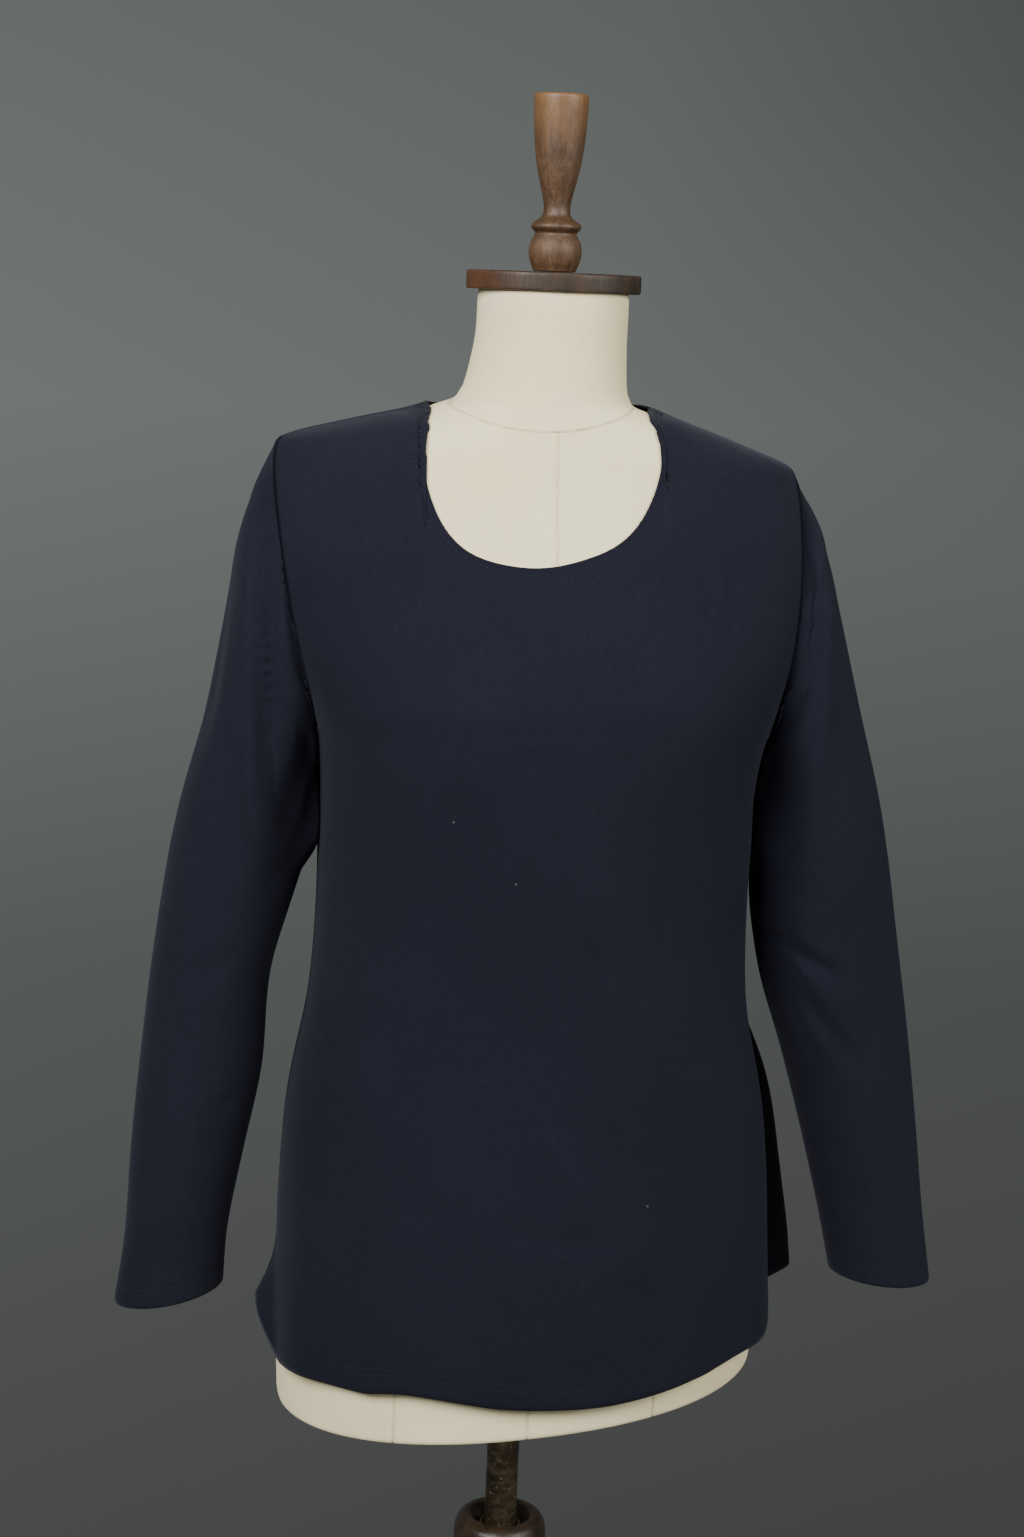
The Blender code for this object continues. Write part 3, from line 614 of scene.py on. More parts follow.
# Finial: a brown stained wooden handle, turned as a flared spindle over a collar and a ball.
# The form is lifted by it, so the flare and the ball are polished by hands.
FINIAL_FOOT = 1.5141
finial_outline = (
    (0.0136, 0.0), (0.0142, 0.0005), (0.0146, 0.0022), (0.0165, 0.006), (0.0176, 0.011),
    (0.0177, 0.015), (0.0168, 0.019), (0.015, 0.0222), (0.0139, 0.024), (0.0137, 0.025),
    (0.0142, 0.0259), (0.0156, 0.027), (0.0167, 0.0284), (0.0168, 0.0296), (0.0162, 0.031),
    (0.0142, 0.0325), (0.0118, 0.0341), (0.01, 0.0355), (0.009, 0.0375), (0.0086, 0.0415),
    (0.0094, 0.0465), (0.0108, 0.052), (0.0128, 0.06), (0.0148, 0.069), (0.0161, 0.078),
    (0.017, 0.088), (0.0177, 0.1), (0.01795, 0.1085), (0.01798, 0.1118), (0.0177, 0.1132),
    (0.0169, 0.1139), (0.015, 0.1142), (0.008, 0.1142),
)
finial_wood = wood_finish(
    "brown finial wood",
    (0.04, 0.019, 0.008),
    (0.105, 0.052, 0.022),
    (0.28, 0.16, 0.075),
    fineness=210.0,
    roughness=0.55,
    edge_wear=0.9,
)
finial_tree = finial_wood[1]
finial_mottle = noise(object_place(finial_tree), 70.0, 5.0)
finial_mottle = ramp(finial_mottle, (0.30, 0.45), (0.62, 1.0))
tint_along_axis(finial_wood, "Z", 1.592, 1.626, finial_mottle, (0.165, 0.080, 0.026))
finial_outline = [(radius, FINIAL_FOOT + height) for radius, height in finial_outline]
finial = turned_piece("turned_finial", finial_outline, segments=36)
mark_worn_edges(finial, 0.0002)
finish_piece(finial, finial_wood[0], "finial")

# Back of the top: one piece of navy jersey, cut shallow at the neck and sewn to the front
# at the shoulders and sides. Its hem is turned up once and its left side stands out in a flare.
CLOTH_WALL = 0.0016
JERSEY_THICKNESS = 0.0011
SEAM_ROLL = 0.0006
SEAM_ALLOWANCE = 0.0028
EDGE_CLEARANCE = 0.0005
EVENED_OVER = 0.007
PAINTED_SHADE_WIDTH = 0.0032
SEAM_ROLL_WIDTH = 0.0045
PRESSED_DEPTH = 0.00035
PRESSED_WIDTH = 0.0028
FOLD_FADE = 0.0050
FORM_REACH = 0.006
SHOULDER_HEIGHT = 1.385


def outer_skin(node, name, outward):
    """The outer side of a cloth node alone, as an open sheet of quads."""
    piece = copy_of_node(node, name)
    mesh = piece.data
    start_editing("EDGE")
    stop_editing()
    for edge in mesh.edges:
        start, end = (mesh.vertices[index] for index in edge.vertices)
        if abs((end.co - start.co).length - CLOTH_WALL) < 0.000005:
            edge.select = start.select = end.select = True
    start_editing()
    bpy.ops.mesh.delete(type="EDGE")
    bpy.ops.mesh.select_mode(type="VERT")
    bpy.ops.mesh.select_all(action="SELECT")
    bpy.ops.mesh.delete_loose(use_verts=True, use_edges=True, use_faces=False)
    bpy.ops.mesh.select_all(action="DESELECT")
    stop_editing()
    max(mesh.vertices, key=lambda point: point.co.dot(outward)).select = True
    start_editing()
    bpy.ops.mesh.select_linked()
    bpy.ops.mesh.select_all(action="INVERT")
    bpy.ops.mesh.delete(type="VERT")
    stop_editing()
    join_to_quads()
    return piece


def skin_of(piece):
    """The surface of a piece, to measure from."""
    return BVHTree.FromObject(piece, bpy.context.evaluated_depsgraph_get())


def move_points(piece, places):
    """Put the points of a piece in new places."""
    piece.data.vertices.foreach_set("co", places.ravel())
    piece.data.update()


def border_edges(mesh):
    """The edges of a sheet that have a face on one side alone."""
    use = {}
    for face in mesh.polygons:
        for pair in face.edge_keys:
            use[pair] = use.get(pair, 0) + 1
    return [edge for edge in mesh.edges if use.get(edge.key) == 1]


def open_edges(piece):
    """The points on the open edges of a sheet, as index numbers."""
    return sorted({point for edge in border_edges(piece.data) for point in edge.vertices})


def edge_places(piece, chosen):
    """Where the chosen points on the open edges of a sheet are."""
    places = places_of(piece.data)
    return places[[index for index in open_edges(piece) if chosen(*places[index])]]


def curve_through(points, steps=48):
    """Even steps along a smooth curve through a few points."""
    points = np.array(points, float)
    ends = np.vstack([2 * points[0] - points[1], points, 2 * points[-1] - points[-2]])
    line = []
    for t in np.linspace(0, len(points) - 1, steps):
        index = min(int(t), len(points) - 2)
        t -= index
        a, b, c, d = ends[index : index + 4]
        bend = 2 * a - 5 * b + 4 * c - d + t * (3 * (b - c) + d - a)
        line.append(b + 0.5 * t * (c - a + t * bend))
    return np.array(line)


def gap_to(places, line):
    """How far each place is from the nearest point of a line."""
    tree_gap = np.empty(len(places))
    for start in range(0, len(places), 4000):
        block = places[start : start + 4000]
        tree_gap[start : start + 4000] = np.sqrt(((block[:, None] - line[None]) ** 2).sum(2).min(1))
    return tree_gap


def bell(gap):
    """1 at no gap, falling smoothly to 0 at a gap of 1."""
    return np.cos(np.clip(gap, 0, 1) * math.pi / 2) ** 2


def press_folds(piece, folds, facing, sewn):
    """Press soft troughs into one side of a cloth piece, and raise ridges of negative depth.

    A fold is its half width, its depth and its x, z points; it fades out at both ends, and at
    the sewn edges.
    """
    mesh = piece.data
    places = places_of(mesh)
    normals = normals_of(mesh)
    shown = np.clip(normals[:, 1] * facing * 4 + 0.6, 0, 1)
    shown *= np.clip(gap_to(places, edge_places(piece, sewn)) / FOLD_FADE, 0, 1)
    sink = np.zeros(len(places))
    lift = np.zeros(len(places))
    for half_width, depth, points in folds:
        line = curve_through(points)
        gap = np.sqrt(((places[:, None, (0, 2)] - line[None]) ** 2).sum(2))
        nearest = gap.argmin(1)
        gap = gap.min(1) / half_width
        fade = np.sin(math.pi * np.clip(nearest / (len(line) - 1), 0.02, 0.98)) ** 0.7
        moved = np.where(gap < 1, abs(depth) * bell(gap) * fade, 0)
        if depth > 0:
            sink += moved
        else:
            lift += moved
    places[:, 1] += facing * lift * np.clip(normals[:, 1] * facing, 0, 1) * shown
    move_points(piece, places - normals * (sink * shown)[:, None])


def draw_in(piece, edge_chosen, reach, share):
    """Even out how far a sheet stands off the form near one edge, and lay that edge close on it.

    share tells, for a place, how much of the stand-off is taken up at the edge.
    """
    places = places_of(piece.data)
    gap = gap_to(places, edge_places(piece, edge_chosen))
    form_skin = skin_of(dress_form)
    near = np.flatnonzero(gap < 1.5 * reach)
    feet = np.array([form_skin.find_nearest(Vector(place))[0] for place in places[near]])
    stand_off = np.linalg.norm(places[near] - feet, axis=1)
    even = np.empty(len(near))
    for start in range(0, len(near), 500):
        block = places[near[start : start + 500]]
        weight = np.exp(-((block[:, None] - places[near][None]) ** 2).sum(2) / EVENED_OVER**2)
        even[start : start + 500] = (weight * stand_off).sum(1) / weight.sum(1)
    taken = bell(gap[near] / reach)
    taken *= np.array([share(*place) for place in places[near]])
    lowest = JERSEY_THICKNESS + EDGE_CLEARANCE
    wanted = np.maximum(even * (1 - taken) + lowest * taken, lowest)
    mixed = np.clip((1.5 * reach - gap[near]) / (0.5 * reach), 0, 1)
    wanted = stand_off + (wanted - stand_off) * mixed
    places[near] = feet + (places[near] - feet) * (wanted / stand_off)[:, None]
    move_points(piece, places)


def settle(piece, chosen, rounds):
    """Even out small dents in the chosen part of a sheet."""
    choose_faces(piece, chosen)
    start_editing("FACE")
    bpy.ops.mesh.vertices_smooth(factor=0.5, repeat=rounds)
    stop_editing()


def keep_off_form(piece):
    """Lift a sheet where its inner side would reach into the form."""
    places = places_of(piece.data)
    form_skin = skin_of(dress_form)
    lowest = JERSEY_THICKNESS + EDGE_CLEARANCE
    for index, place in enumerate(places):
        foot, normal, _, _ = form_skin.find_nearest(Vector(place), FORM_REACH)
        if foot is not None and (Vector(place) - foot).dot(normal) < lowest:
            places[index] = foot + normal * lowest
    move_points(piece, places)


def paint_seam_shade(piece, sewn):
    """Paint shade on the cloth beside a seam, where it turns down out of the light."""
    gap = gap_to(places_of(piece.data), edge_places(piece, sewn))
    mark = piece.data.attributes.new("painted seam shade", "FLOAT", "POINT")
    mark.data.foreach_set("value", np.clip(1.2 - gap / PAINTED_SHADE_WIDTH, 0, 1))


def work_edges(piece, sewn, turned, turned_width):
    """Roll the sewn edges of a sheet inwards, and press a line where turned edges are stitched."""
    places = places_of(piece.data)
    sink = np.zeros(len(places))
    sewn_line = edge_places(piece, sewn)
    if len(sewn_line):
        sink += SEAM_ROLL * np.clip(1 - gap_to(places, sewn_line) / SEAM_ROLL_WIDTH, 0, 1) ** 2
    gap = gap_to(places, edge_places(piece, turned))
    sink += PRESSED_DEPTH * np.clip(1 - abs(gap - turned_width) / PRESSED_WIDTH, 0, 1)
    move_points(piece, places - normals_of(piece.data) * sink[:, None])


def turn_in_seams(piece, sewn):
    """Fold a short seam allowance inwards along the sewn edges of a sheet."""
    mesh = piece.data
    count = len(mesh.vertices)
    places = places_of(mesh)
    normals = normals_of(mesh)
    rim = {index for index in open_edges(piece) if sewn(*places[index])}
    source = {tuple(np.round(places[index], 7)): index for index in rim}
    start_editing("EDGE", "DESELECT")
    stop_editing()
    for edge in border_edges(mesh):
        if rim.issuperset(edge.vertices):
            edge.select = True
            for index in edge.vertices:
                mesh.vertices[index].select = True
    start_editing()
    bpy.ops.mesh.extrude_edges_move(TRANSFORM_OT_translate={"value": (0, 0, 0)})
    stop_editing()
    for point in mesh.vertices[count:]:
        index = source[tuple(np.round(np.array(point.co, float), 7))]
        depth = SEAM_ALLOWANCE if places[index][2] < SHOULDER_HEIGHT else SEAM_ALLOWANCE / 3
        point.co = places[index] - normals[index] * depth
    mesh.update()


def lay_out_cloth(piece, middle_of):
    """The sheet's own map in metres: round the body from its middle line, and up along it."""
    mesh = piece.data
    places = places_of(mesh)
    middle = np.array([middle_of(height) for height in places[:, 2]])
    turn = np.arctan2(places[:, 0] - middle[:, 0], -(places[:, 1] - middle[:, 1]))
    reach = np.hypot(places[:, 0] - middle[:, 0], places[:, 1] - middle[:, 1])
    corners = np.zeros(len(mesh.loops), int)
    mesh.loops.foreach_get("vertex_index", corners)
    flat = np.stack([turn[corners] * np.median(reach), places[corners, 2]], 1)
    mesh.uv_layers.new(name="cloth")
    mesh.uv_layers["cloth"].data.foreach_set("uv", flat.ravel())


def close_cloth(piece):
    """Give the finished sheet its thickness, inwards from its outer side."""
    apply_modifier(piece, "SOLIDIFY", thickness=JERSEY_THICKNESS, offset=-1, use_even_offset=False)
    bpy.ops.object.shade_smooth()


jersey, jersey_tree, jersey_shader = new_finish(
    "navy jersey", Sheen_Roughness=0.50, Sheen_Tint=(0.62, 0.64, 0.80, 1)
)
cloth_map = put(jersey_tree, "UVMap", uv_map="cloth").outputs[0]
cloth_place = object_place(jersey_tree)
wales = noise(cloth_map, (1500.0, 110.0, 1.0), 3.0, 0.55)
courses = noise(cloth_map, (170.0, 1250.0, 1.0))
nap = noise(cloth_place, 950.0, 4.0, 0.7)
wash = noise(cloth_place, 11.0, 4.0, 0.6)
knit = calc("ADD", calc("ADD", wales, courses), nap)
knit = calc("MULTIPLY", knit, 0.3333)
yarn = ramp(knit, (0.38, (0.0074, 0.0080, 0.0152)), (0.60, (0.0102, 0.0110, 0.0202)))
washed = ramp(wash, (0.34, (0.86, 0.86, 0.88)), (0.62, (1.0, 1.0, 1.0)))
jersey_colour = blend_colours(1.0, yarn, washed, "MULTIPLY")
# Painted shade beside the armhole seams: the colour goes to near black there, and the sheen and
# specular fade out.
painted_seam_shade = put(jersey_tree, "Attribute", attribute_name="painted seam shade").outputs["Fac"]
outside_painted_shade = calc("SUBTRACT", 1.0, painted_seam_shade)
painted_seam_shade = calc("MULTIPLY", painted_seam_shade, 0.80)
jersey_colour = blend_colours(painted_seam_shade, jersey_colour, (0.0010, 0.0011, 0.0020))
lint = put(jersey_tree, "TexVoronoi", {"Vector": cloth_place, "Scale": 21.0, "Randomness": 1.0})
lint_mask = ramp(lint.outputs["Distance"], (0.012, 0.55), (0.020, 0.0))
feed(
    jersey_shader,
    Base_Color=blend_colours(lint_mask, jersey_colour, (0.11, 0.115, 0.14)),
    Sheen_Weight=calc("MULTIPLY", outside_painted_shade, 0.065),
    Specular_IOR_Level=calc("MULTIPLY", outside_painted_shade, 0.09),
    Roughness=ramp(knit, (0.35, 0.98), (0.65, 0.84)),
    Normal=relief(knit, 0.18, 0.0002),
)


def body_middle(height):
    return (0.002, 0.0)


HEM_TOP = 0.840
SIDE_HEM_TOP = 0.803
ARMHOLE_FOOT = 1.10
ON_SIDE_SEAM = 0.004
NECK_MIDDLE = -0.010
NECK_SPAN = 0.0830


def on_body_seam(x, y, z):
    """Side seams, armholes and shoulder seams: the open edges that are neither hem nor neck."""
    return not on_hem(x, y, z) and not on_neck_edge(x, y, z)


def nowhere(x, y, z):
    return False


def on_flat_seam(x, y, z):
    """Side seams and shoulder seams alone."""
    return on_body_seam(x, y, z) and abs(y) < ON_SIDE_SEAM


def on_body_armhole(x, y, z):
    return on_body_seam(x, y, z) and abs(y) > ON_SIDE_SEAM and z > ARMHOLE_FOOT


def on_hem(x, y, z):
    return z < HEM_TOP and (abs(y) > ON_SIDE_SEAM or z < SIDE_HEM_TOP)


def on_neck_edge(x, y, z):
    on_panel = abs(y) > 0.0012 or -0.0822 < x < 0.0686
    return z > 1.30 and abs(x - NECK_MIDDLE) < NECK_SPAN and on_panel


HEM_WIDTH = 0.0150
NECK_TURNING = 0.0065
NECK_REACH = 0.024
BACK_FOLDS = (
    (0.016, 0.0022, ((-0.11, 1.112), (-0.04, 1.096), (0.03, 1.1), (0.1, 1.124))),
    (0.013, 0.0018, ((-0.095, 1.062), (-0.03, 1.052), (0.04, 1.06))),
    (0.012, 0.0016, ((0.11, 1.075), (0.07, 1.05), (0.03, 1.018))),
    (0.015, 0.002, ((-0.15, 1.24), (-0.11, 1.205), (-0.07, 1.185))),
    (0.014, 0.0018, ((0.14, 1.235), (0.105, 1.2), (0.07, 1.176))),
    (0.018, 0.0016, ((-0.12, 1.33), (-0.112, 1.28), (-0.116, 1.23))),
    (0.018, 0.0016, ((0.11, 1.325), (0.106, 1.28), (0.112, 1.225))),
    (0.02, 0.0022, ((-0.06, 0.98), (-0.064, 0.9), (-0.058, 0.81))),
    (0.018, 0.002, ((0.05, 0.97), (0.058, 0.89), (0.062, 0.8))),
)
def close_panel(piece, node):
    """Seam, map and thicken a body panel; gives the edge and the skin that stitches follow."""
    edge = places_of(piece.data)[open_edges(piece)]
    skin = skin_of(piece)
    keep_off_form(piece)
    # Painted shade on the cloth beside the armholes.
    paint_seam_shade(piece, on_body_armhole)
    turn_in_seams(piece, on_flat_seam)
    lay_out_cloth(piece, body_middle)
    close_cloth(piece)
    finish_piece(piece, jersey, node)
    return edge, skin


jersey_back = outer_skin("back_panel", "jersey_back", Vector((0, 1, 0)))
smooth_through(jersey_back, 3)
press_folds(jersey_back, BACK_FOLDS, 1, on_body_seam)
work_edges(jersey_back, on_body_seam, on_hem, HEM_WIDTH)
work_edges(jersey_back, nowhere, on_neck_edge, NECK_TURNING)
back_edge, back_skin = close_panel(jersey_back, "back_panel")

# Front of the top: cut from the same jersey with a wide scooped neck. It lies close over the bust,
# hangs free at the waist and flares a little at the hem.
FRONT_FOLDS = (
    (0.024, 0.002, (
        (-0.124, 1.2215), (-0.0875, 1.221), (-0.05, 1.217), (-0.019, 1.216), (0.026, 1.218),
        (0.065, 1.2225), (0.107, 1.231),
    )),
    (0.008, 0.0008, ((-0.002, 1.164), (0.009, 1.142))),
    (0.009, 0.0009, ((0.01, 1.098), (0.034, 1.075), (0.055, 1.054))),
    (0.009, 0.0009, ((0.038, 1.011), (0.051, 0.987), (0.065, 0.9595))),
    (0.008, 0.0008, ((0.063, 0.94), (0.103, 0.936))),
    (0.01, 0.001, ((0.096, 1.36), (0.0976, 1.317), (0.097, 1.279))),
    (0.009, 0.0009, ((0.117, 1.354), (0.115, 1.285))),
    (0.009, 0.0008, ((-0.164, 1.325), (-0.1555, 1.275))),
    (0.01, -0.0008, ((0.107, 1.35), (0.107, 1.29))),
    (0.014, 0.001, ((-0.03, 0.9), (0.02, 0.888), (0.07, 0.896))),
    (0.012, 0.0009, ((-0.12, 0.9), (-0.118, 0.85), (-0.124, 0.8))),
)
jersey_front = outer_skin("front_panel", "jersey_front", Vector((0, -1, 0)))
smooth_through(jersey_front, 3)
settle(
    jersey_front,
    lambda face: abs(face.center.x - NECK_MIDDLE) < 0.105 and face.center.z > 1.345,
    rounds=4,
)
press_folds(jersey_front, FRONT_FOLDS, -1, on_body_seam)
work_edges(jersey_front, on_body_seam, on_hem, HEM_WIDTH)
work_edges(jersey_front, nowhere, on_neck_edge, NECK_TURNING)
draw_in(
    jersey_front,
    on_neck_edge,
    NECK_REACH,
    share=lambda x, y, z: min(max((-y - 0.003) / 0.018, 0.0), 1.0),
)
front_edge, front_skin = close_panel(jersey_front, "front_panel")

# Sleeves: two long one-piece sleeves of the same jersey, each closed by a seam under the arm and
# sewn into its armhole. With no arm inside they hang flat, and fold over at the armhole and elbow.
SLEEVE_MIDDLES = {
    "sleeve_right": (
        (0.80, -0.2405, 0.004), (0.86, -0.236, 0.002), (1.00, -0.221, 0.0), (1.15, -0.197, 0.0),
        (1.28, -0.176, 0.0), (1.40, -0.168, 0.0),
    ),
    "sleeve_left": (
        (0.80, 0.2645, 0.004), (0.86, 0.2545, 0.002), (1.00, 0.228, 0.0), (1.15, 0.198, 0.0),
        (1.28, 0.176, 0.0), (1.40, 0.166, 0.0),
    ),
}
RIGHT_SLEEVE_FRONT = (
    (0.0125, 0.0085, (
        (-0.18, 1.393), (-0.187, 1.361), (-0.188, 1.323), (-0.187, 1.285), (-0.182, 1.22),
        (-0.175, 1.167), (-0.167, 1.12),
    )),
    (0.012, -0.0065, (
        (-0.196, 1.37), (-0.202, 1.335), (-0.203, 1.29), (-0.199, 1.225), (-0.192, 1.165),
        (-0.184, 1.125),
    )),
    (0.009, 0.0036, ((-0.21, 1.318), (-0.216, 1.27), (-0.221, 1.229), (-0.226, 1.195))),
    (0.01, -0.003, ((-0.172, 1.33), (-0.168, 1.27), (-0.163, 1.19))),
    (0.01, 0.0045, ((-0.153, 1.19), (-0.158, 1.15), (-0.166, 1.115))),
    (0.012, 0.0012, ((-0.2, 1.07), (-0.215, 1.05), (-0.235, 1.045))),
    (0.01, 0.001, ((-0.192, 0.96), (-0.212, 0.95))),
)
RIGHT_SLEEVE_BACK = (
    (0.009, 0.0035, ((-0.182, 1.38), (-0.19, 1.33), (-0.188, 1.27), (-0.18, 1.2))),
    (0.009, 0.0022, ((-0.176, 1.1), (-0.195, 1.082), (-0.22, 1.078))),
    (0.01, 0.0018, ((-0.184, 1.05), (-0.21, 1.03), (-0.236, 1.03))),
)
LEFT_SLEEVE_FRONT = (
    (0.0115, 0.007, ((0.172, 1.368), (0.176, 1.327), (0.178, 1.295), (0.178, 1.235))),
    (0.011, -0.0045, ((0.186, 1.345), (0.191, 1.31), (0.193, 1.27), (0.192, 1.22))),
    (0.0095, 0.0045, ((0.158, 1.206), (0.168, 1.226), (0.178, 1.25))),
    (0.01, 0.0045, ((0.161, 1.077), (0.172, 1.071), (0.1905, 1.059), (0.212, 1.048))),
    (0.011, 0.0035, ((0.165, 1.067), (0.18, 1.043), (0.201, 1.017), (0.227, 0.985))),
    (0.014, 0.003, ((0.168, 1.215), (0.17, 1.165), (0.173, 1.11))),
    (0.012, -0.0025, ((0.186, 1.29), (0.186, 1.22), (0.187, 1.15))),
    (0.01, 0.0012, ((0.205, 0.93), (0.228, 0.915))),
)
LEFT_SLEEVE_BACK = (
    (0.009, 0.0035, ((0.176, 1.37), (0.184, 1.32), (0.182, 1.26), (0.176, 1.2))),
    (0.009, 0.0025, ((0.172, 1.095), (0.195, 1.075), (0.225, 1.066))),
    (0.01, 0.002, ((0.18, 1.04), (0.205, 1.015), (0.235, 1.0))),
)
CUFF_WIDTH = 0.0150
CUFF_TOP = 0.90


def on_armhole(x, y, z):
    return z > ARMHOLE_FOOT


def on_cuff(x, y, z):
    return z < CUFF_TOP


TUCK_ALONG = 0.0036
TUCK_DOWN = 0.0024
TUCK_WIDTH = 0.010
TUCK_FROM = 0.022
SNAP_REACH = 0.0012
SNAP_OVERLAP = 0.0002
UNDERARM_REACH = 0.0075
UNDERARM_HEIGHTS = (1.110, 1.132, 1.235, 1.262)
def tuck_under_body(piece, side):
    """Let the armhole edge of a sleeve dip under the edge of the body, in front and behind."""
    places = places_of(piece.data)
    normals = normals_of(piece.data)
    edge = edge_places(piece, on_armhole)
    share = bell(gap_to(places, edge) / TUCK_WIDTH)
    share *= np.clip((abs(places[:, 1]) - TUCK_FROM) / TUCK_WIDTH, 0, 1)
    form_skin = skin_of(dress_form)
    for index in np.flatnonzero(gap_to(places, edge) < 0.0004):
        feet = [skin.find_nearest(Vector(places[index]))[0] for skin in (front_skin, back_skin)]
        step = min((foot - Vector(places[index]) for foot in feet), key=lambda way: way.length)
        if 0 < step.length < SNAP_REACH:
            places[index] += step.normalized() * (step.length + SNAP_OVERLAP)
    for index in np.flatnonzero(share > 0.001):
        free = form_skin.find_nearest(Vector(places[index]))[3]
        free -= JERSEY_THICKNESS + 2 * EDGE_CLEARANCE
        depth = min(max(free, 0.0), TUCK_DOWN)
        places[index] -= normals[index] * depth * share[index]
        places[index][0] -= side * TUCK_ALONG * share[index] * depth / TUCK_DOWN
    move_points(piece, places)


def lean_on_body(piece, side):
    """Draw the inner side of a sleeve in under the arm until it all but touches the body."""
    places = places_of(piece.data)
    normals = normals_of(piece.data)
    held = gap_to(places, edge_places(piece, on_armhole))
    inward = Vector((-side, 0, 0))
    share = np.interp(places[:, 2], UNDERARM_HEIGHTS, (0.0, 1.0, 1.0, 0.0))
    share *= np.clip(held / 0.008, 0, 1)
    share *= np.clip((0.186 - abs(places[:, 0])) / 0.026, 0, 1)
    share *= np.clip(0.45 - side * normals[:, 0], 0, 1)
    for index in np.flatnonzero(share):
        place = Vector(places[index])
        gaps = [skin.ray_cast(place, inward, 0.03)[3] for skin in (front_skin, back_skin)]
        gaps = [gap for gap in gaps if gap is not None]
        room = min(gaps, default=UNDERARM_REACH) - 0.0006
        places[index][0] -= side * min(max(room, 0.0), UNDERARM_REACH) * share[index]
    move_points(piece, places)


cuff_edges = {}
cuff_skins = {}
for node, name, side, front_folds, back_folds in (
    ("sleeve_right", "jersey_sleeve_right", -1, RIGHT_SLEEVE_FRONT, RIGHT_SLEEVE_BACK),
    ("sleeve_left", "jersey_sleeve_left", 1, LEFT_SLEEVE_FRONT, LEFT_SLEEVE_BACK),
):
    sleeve = outer_skin(node, name, Vector((side, 0, 0)))
    smooth_through(sleeve, 3)
    settle(
        sleeve, lambda face: 1.13 < face.center.z < 1.36 and abs(face.center.x) > 0.170, rounds=14
    )
    press_folds(sleeve, front_folds, -1, on_armhole)
    press_folds(sleeve, back_folds, 1, on_armhole)
    lean_on_body(sleeve, side)
    tuck_under_body(sleeve, side)
    work_edges(sleeve, nowhere, on_cuff, CUFF_WIDTH)
    cuff_edges[node] = edge_places(sleeve, on_cuff)
    cuff_skins[node] = skin_of(sleeve)
    heights, xs, ys = zip(*SLEEVE_MIDDLES[node])
    lay_out_cloth(sleeve, lambda height: [np.interp(height, heights, line) for line in (xs, ys)])
    close_cloth(sleeve)
    finish_piece(sleeve, jersey, node)

# Stitching: the neck, hem and cuffs are turned once and held by two rows of navy thread,
# sewn in short stitches that sink a little into the jersey.
STITCH_LENGTH = 0.0024
STITCH_STEP = 0.0034
STITCH_RADIUS = 0.00022
EDGE_PROBE = 0.004
NECK_ROWS = (0.0048, 0.0076)
HEM_ROWS = (0.0130, 0.0170)
deselect_all()
bpy.ops.mesh.primitive_uv_sphere_add(segments=6, ring_count=4, radius=1)
one_stitch = bpy.context.object
start_editing(action="SELECT")
bpy.ops.transform.rotate(value=math.pi / 2, orient_axis="Y", center_override=(0, 0, 0))
bpy.ops.transform.resize(
    value=(STITCH_LENGTH / 2, STITCH_RADIUS, STITCH_RADIUS), center_override=(0, 0, 0)
)
stop_editing()
stitch_places = places_of(one_stitch.data)
stitch_faces = [tuple(face.vertices) for face in one_stitch.data.polygons]
bpy.data.objects.remove(one_stitch)

thread, thread_tree, thread_shader = new_finish(
    "navy thread", Specular_IOR_Level=0.2, Sheen_Weight=0.05
)
ply = noise(object_place(thread_tree), 2600.0)
thread_colours = (0.35, (0.0080, 0.0088, 0.0165)), (0.65, (0.0135, 0.0148, 0.0250))
feed(
    thread_shader,
    Base_Color=ramp(ply, *thread_colours),
    Roughness=ramp(ply, (0.35, 0.75), (0.65, 0.55)),
)


def sew_row(edge, skin, inset, closed):
    """Places, directions and cloth normals of the stitches along one row, inside an edge."""
    steps = np.linalg.norm(np.diff(edge, axis=0), axis=1)
    along = np.concatenate([[0], np.cumsum(steps)])
    count = int(along[-1] / STITCH_STEP)
    marks = np.linspace(0, along[-1], count, endpoint=not closed)
    line = np.stack([np.interp(marks, along, edge[:, axis]) for axis in range(3)], 1)
    row = []
    for index, place in enumerate(line):
        ahead = Vector(line[min(index + 1, count - 1)]) - Vector(line[max(index - 1, 0)])
        here, normal, *_ = skin.find_nearest(Vector(place))
        inward = normal.cross(ahead).normalized()
        probe = inward * EDGE_PROBE
        if skin.find_nearest(here + probe)[3] > skin.find_nearest(here - probe)[3]:
            inward = -inward
        target, normal, *_ = skin.find_nearest(here + inward * inset)
        row.append((target, ahead.normalized(), normal))
    return row


def stitching(name, *runs):
    """One mesh of all the stitches along some edges; a run is its edge, skin, insets and closed."""
    points = []
    faces = []
    rows = []
    for edge, skin, insets, closed in runs:
        rows += [sew_row(edge, skin, inset, closed) for inset in insets]
    for row in rows:
        for here, ahead, normal in row:
            side = normal.cross(ahead).normalized()
            turn = np.array([ahead, side, normal])
            faces += [tuple(len(points) + index for index in face) for face in stitch_faces]
            points += list(stitch_places @ turn + np.array(here + normal * STITCH_RADIUS * 0.5))
    mesh = bpy.data.meshes.new(name)
    mesh.from_pydata([tuple(point) for point in points], [], faces)
    made = bpy.data.objects.new(name, mesh)
    bpy.context.scene.collection.objects.link(made)
    mesh.materials.append(thread)
    mesh.shade_smooth()
    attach(made, "root")


def in_order(edge, chosen, key):
    """The chosen points of an edge, in the order of a key."""
    edge = edge[[chosen(*place) for place in edge]]
    return edge[np.argsort(key(edge))]


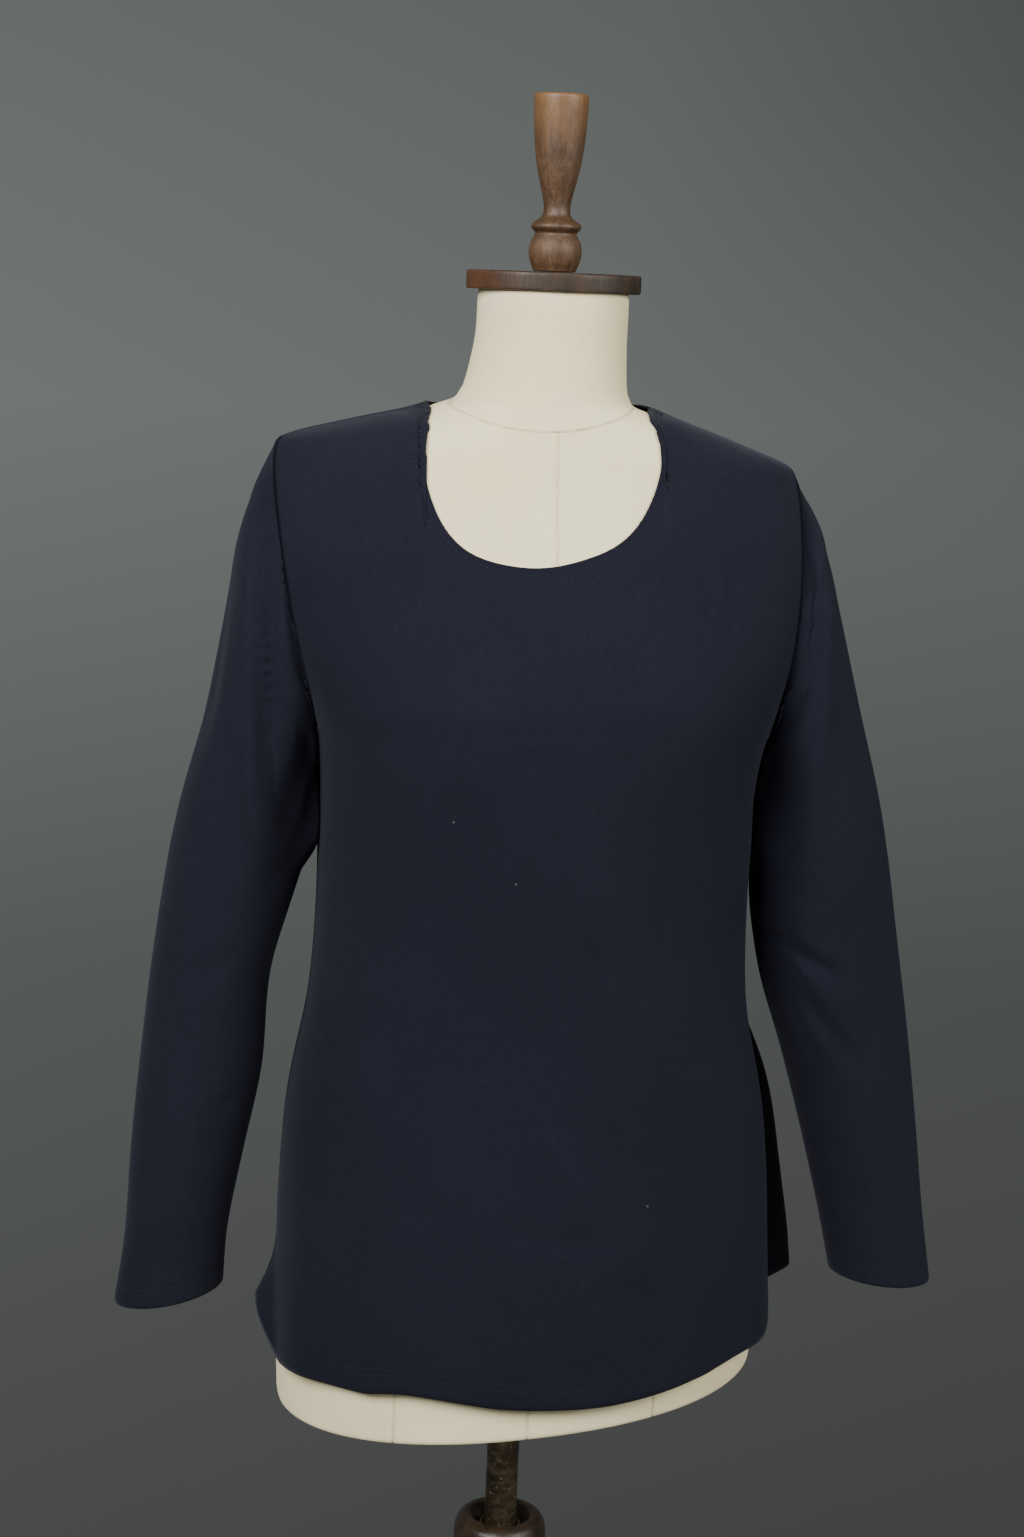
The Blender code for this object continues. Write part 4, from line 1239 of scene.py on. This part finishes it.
front_hem = in_order(front_edge, on_hem, lambda at: np.arctan2(at[:, 1] - 0.05, at[:, 0]))
back_hem = in_order(back_edge, on_hem, lambda at: np.arctan2(at[:, 0], at[:, 1] + 0.05))
front_neck = in_order(
    front_edge, on_neck_edge, lambda at: np.arctan2(at[:, 0] - NECK_MIDDLE, -(at[:, 2] - 1.400))
)
back_neck = in_order(back_edge, on_neck_edge, lambda at: at[:, 0])
stitching(
    "neck_stitching",
    (front_neck, front_skin, NECK_ROWS, False),
    (back_neck, back_skin, NECK_ROWS, False),
)
stitching(
    "hem_stitching",
    (front_hem, front_skin, HEM_ROWS, False),
    (back_hem, back_skin, HEM_ROWS, False),
)
for node, middles in SLEEVE_MIDDLES.items():
    _, x, y = middles[0]
    cuff = in_order(cuff_edges[node], on_cuff, lambda at: np.arctan2(at[:, 1] - y, at[:, 0] - x))
    name = node.replace("sleeve", "cuff_stitching")
    stitching(name, (cuff, cuff_skins[node], HEM_ROWS, True))

# Studio: a pale round floor under the stand, a grey-green wall behind with painted light, brighter
# at upper left, and painted shade low down and in the upper right corner; two large soft lamps in
# front.
FLOOR_DEPTH = 0.012
deselect_all()
bpy.ops.mesh.primitive_circle_add(
    vertices=96, radius=0.95, fill_type="NGON", location=(0, 0, -FLOOR_DEPTH)
)
floor = bpy.context.object
floor.name = "floor"
start_editing(action="SELECT")
bpy.ops.mesh.extrude_region_move(TRANSFORM_OT_translate={"value": (0, 0, FLOOR_DEPTH)})
bpy.ops.mesh.select_all(action="SELECT")
bpy.ops.mesh.normals_make_consistent(inside=False)
stop_editing()
floor_finish, floor_tree, floor_shader = new_finish("pale floor", Roughness=0.7)
floor_noise = noise(object_place(floor_tree), 3.0)
feed(floor_shader, Base_Color=ramp(floor_noise, (0.3, 0.50), (0.7, 0.54)))
floor.data.materials.append(floor_finish)

world = bpy.data.worlds.new("studio wall")
bpy.context.scene.world = world
world.use_nodes = True
wall = world.node_tree
wall_side = put(wall, "SeparateXYZ", {0: put(wall, "TexCoord").outputs["Generated"]}).outputs


def wall_fade(axis, start, end, first=0.0, last=1.0):
    """A value that runs from first to last across part of the wall."""
    values = {"From Min": start, "From Max": end, "To Min": first, "To Max": last}
    return put(wall, "MapRange", {"Value": wall_side[axis], **values}).outputs[0]


# Painted light and shade on the wall: lighter up to a band near the top, lighter to the left,
# darker in the upper right corner.
wall_up = ramp(
    wall_fade("Z", -0.46, 0.11),
    (0.0, (0.067, 0.071, 0.068)),
    (0.35, (0.09, 0.097, 0.095)),
    (0.72, (0.152, 0.166, 0.161)),
    (1.0, (0.126, 0.136, 0.129)),
)
wall_across = wall_fade("X", -0.10, 0.34, 1.10, 0.84)
wall_top = wall_fade("Z", -0.10, 0.08)
wall_right = wall_fade("X", 0.16, 0.36, last=0.34)
painted_wall_corner_shade = calc("SUBTRACT", 1.0, calc("MULTIPLY", wall_top, wall_right))
wall_across = calc("MULTIPLY", wall_across, painted_wall_corner_shade)
painted_wall_light = put(wall, "VectorMath", {0: wall_up, 1: wall_across}, operation="MULTIPLY")
feed(wall.nodes["Background"], Color=painted_wall_light.outputs[0])
wall.nodes["Background"].inputs["Strength"].default_value = 1.0

LAMP_SIZE = 1.2
for lamp_name, place, aim, power in (
    ("left lamp", (-1.25, -1.50, 2.45), (0.0, 0.0, 1.30), 93.0),
    ("right lamp", (1.50, -1.45, 2.20), (0.0, 0.0, 1.25), 51.0),
):
    lamp = bpy.data.lights.new(lamp_name, "AREA")
    lamp.shape = "SQUARE"
    lamp.size = LAMP_SIZE
    lamp.energy = power
    lamp.color = (1.0, 0.985, 0.95)
    holder = bpy.data.objects.new(lamp_name, lamp)
    bpy.context.scene.collection.objects.link(holder)
    holder.location = place
    holder.rotation_mode = "QUATERNION"
    holder.rotation_quaternion = (Vector(aim) - Vector(place)).to_track_quat("-Z", "Y")

# Camera: at chest height a little to the wearer's right, tipped down and slightly rolled.
CAMERA_PLACE = (-0.2245, -1.7053, 1.5050)
CAMERA_HEADING = math.radians(7.03)
CAMERA_PITCH = math.radians(10.70)
CAMERA_ROLL = math.radians(2.40)
lens = bpy.data.cameras.new("camera")
lens.lens = 59.96
lens.sensor_width = 36.0
camera = bpy.data.objects.new("camera", lens)
bpy.context.scene.collection.objects.link(camera)
heading, pitch, roll = CAMERA_HEADING, CAMERA_PITCH, CAMERA_ROLL
level_reach = math.cos(pitch)
ahead = Vector((math.sin(heading) * level_reach, math.cos(heading) * level_reach, -math.sin(pitch)))
level = Vector((math.cos(heading), -math.sin(heading), 0))
upward = level.cross(ahead)
right = level * math.cos(roll) + upward * math.sin(roll)
upright = upward * math.cos(roll) - level * math.sin(roll)
turn = Matrix((right, upright, -ahead)).transposed().to_4x4()
camera.matrix_world = Matrix.Translation(CAMERA_PLACE) @ turn
bpy.context.scene.camera = camera
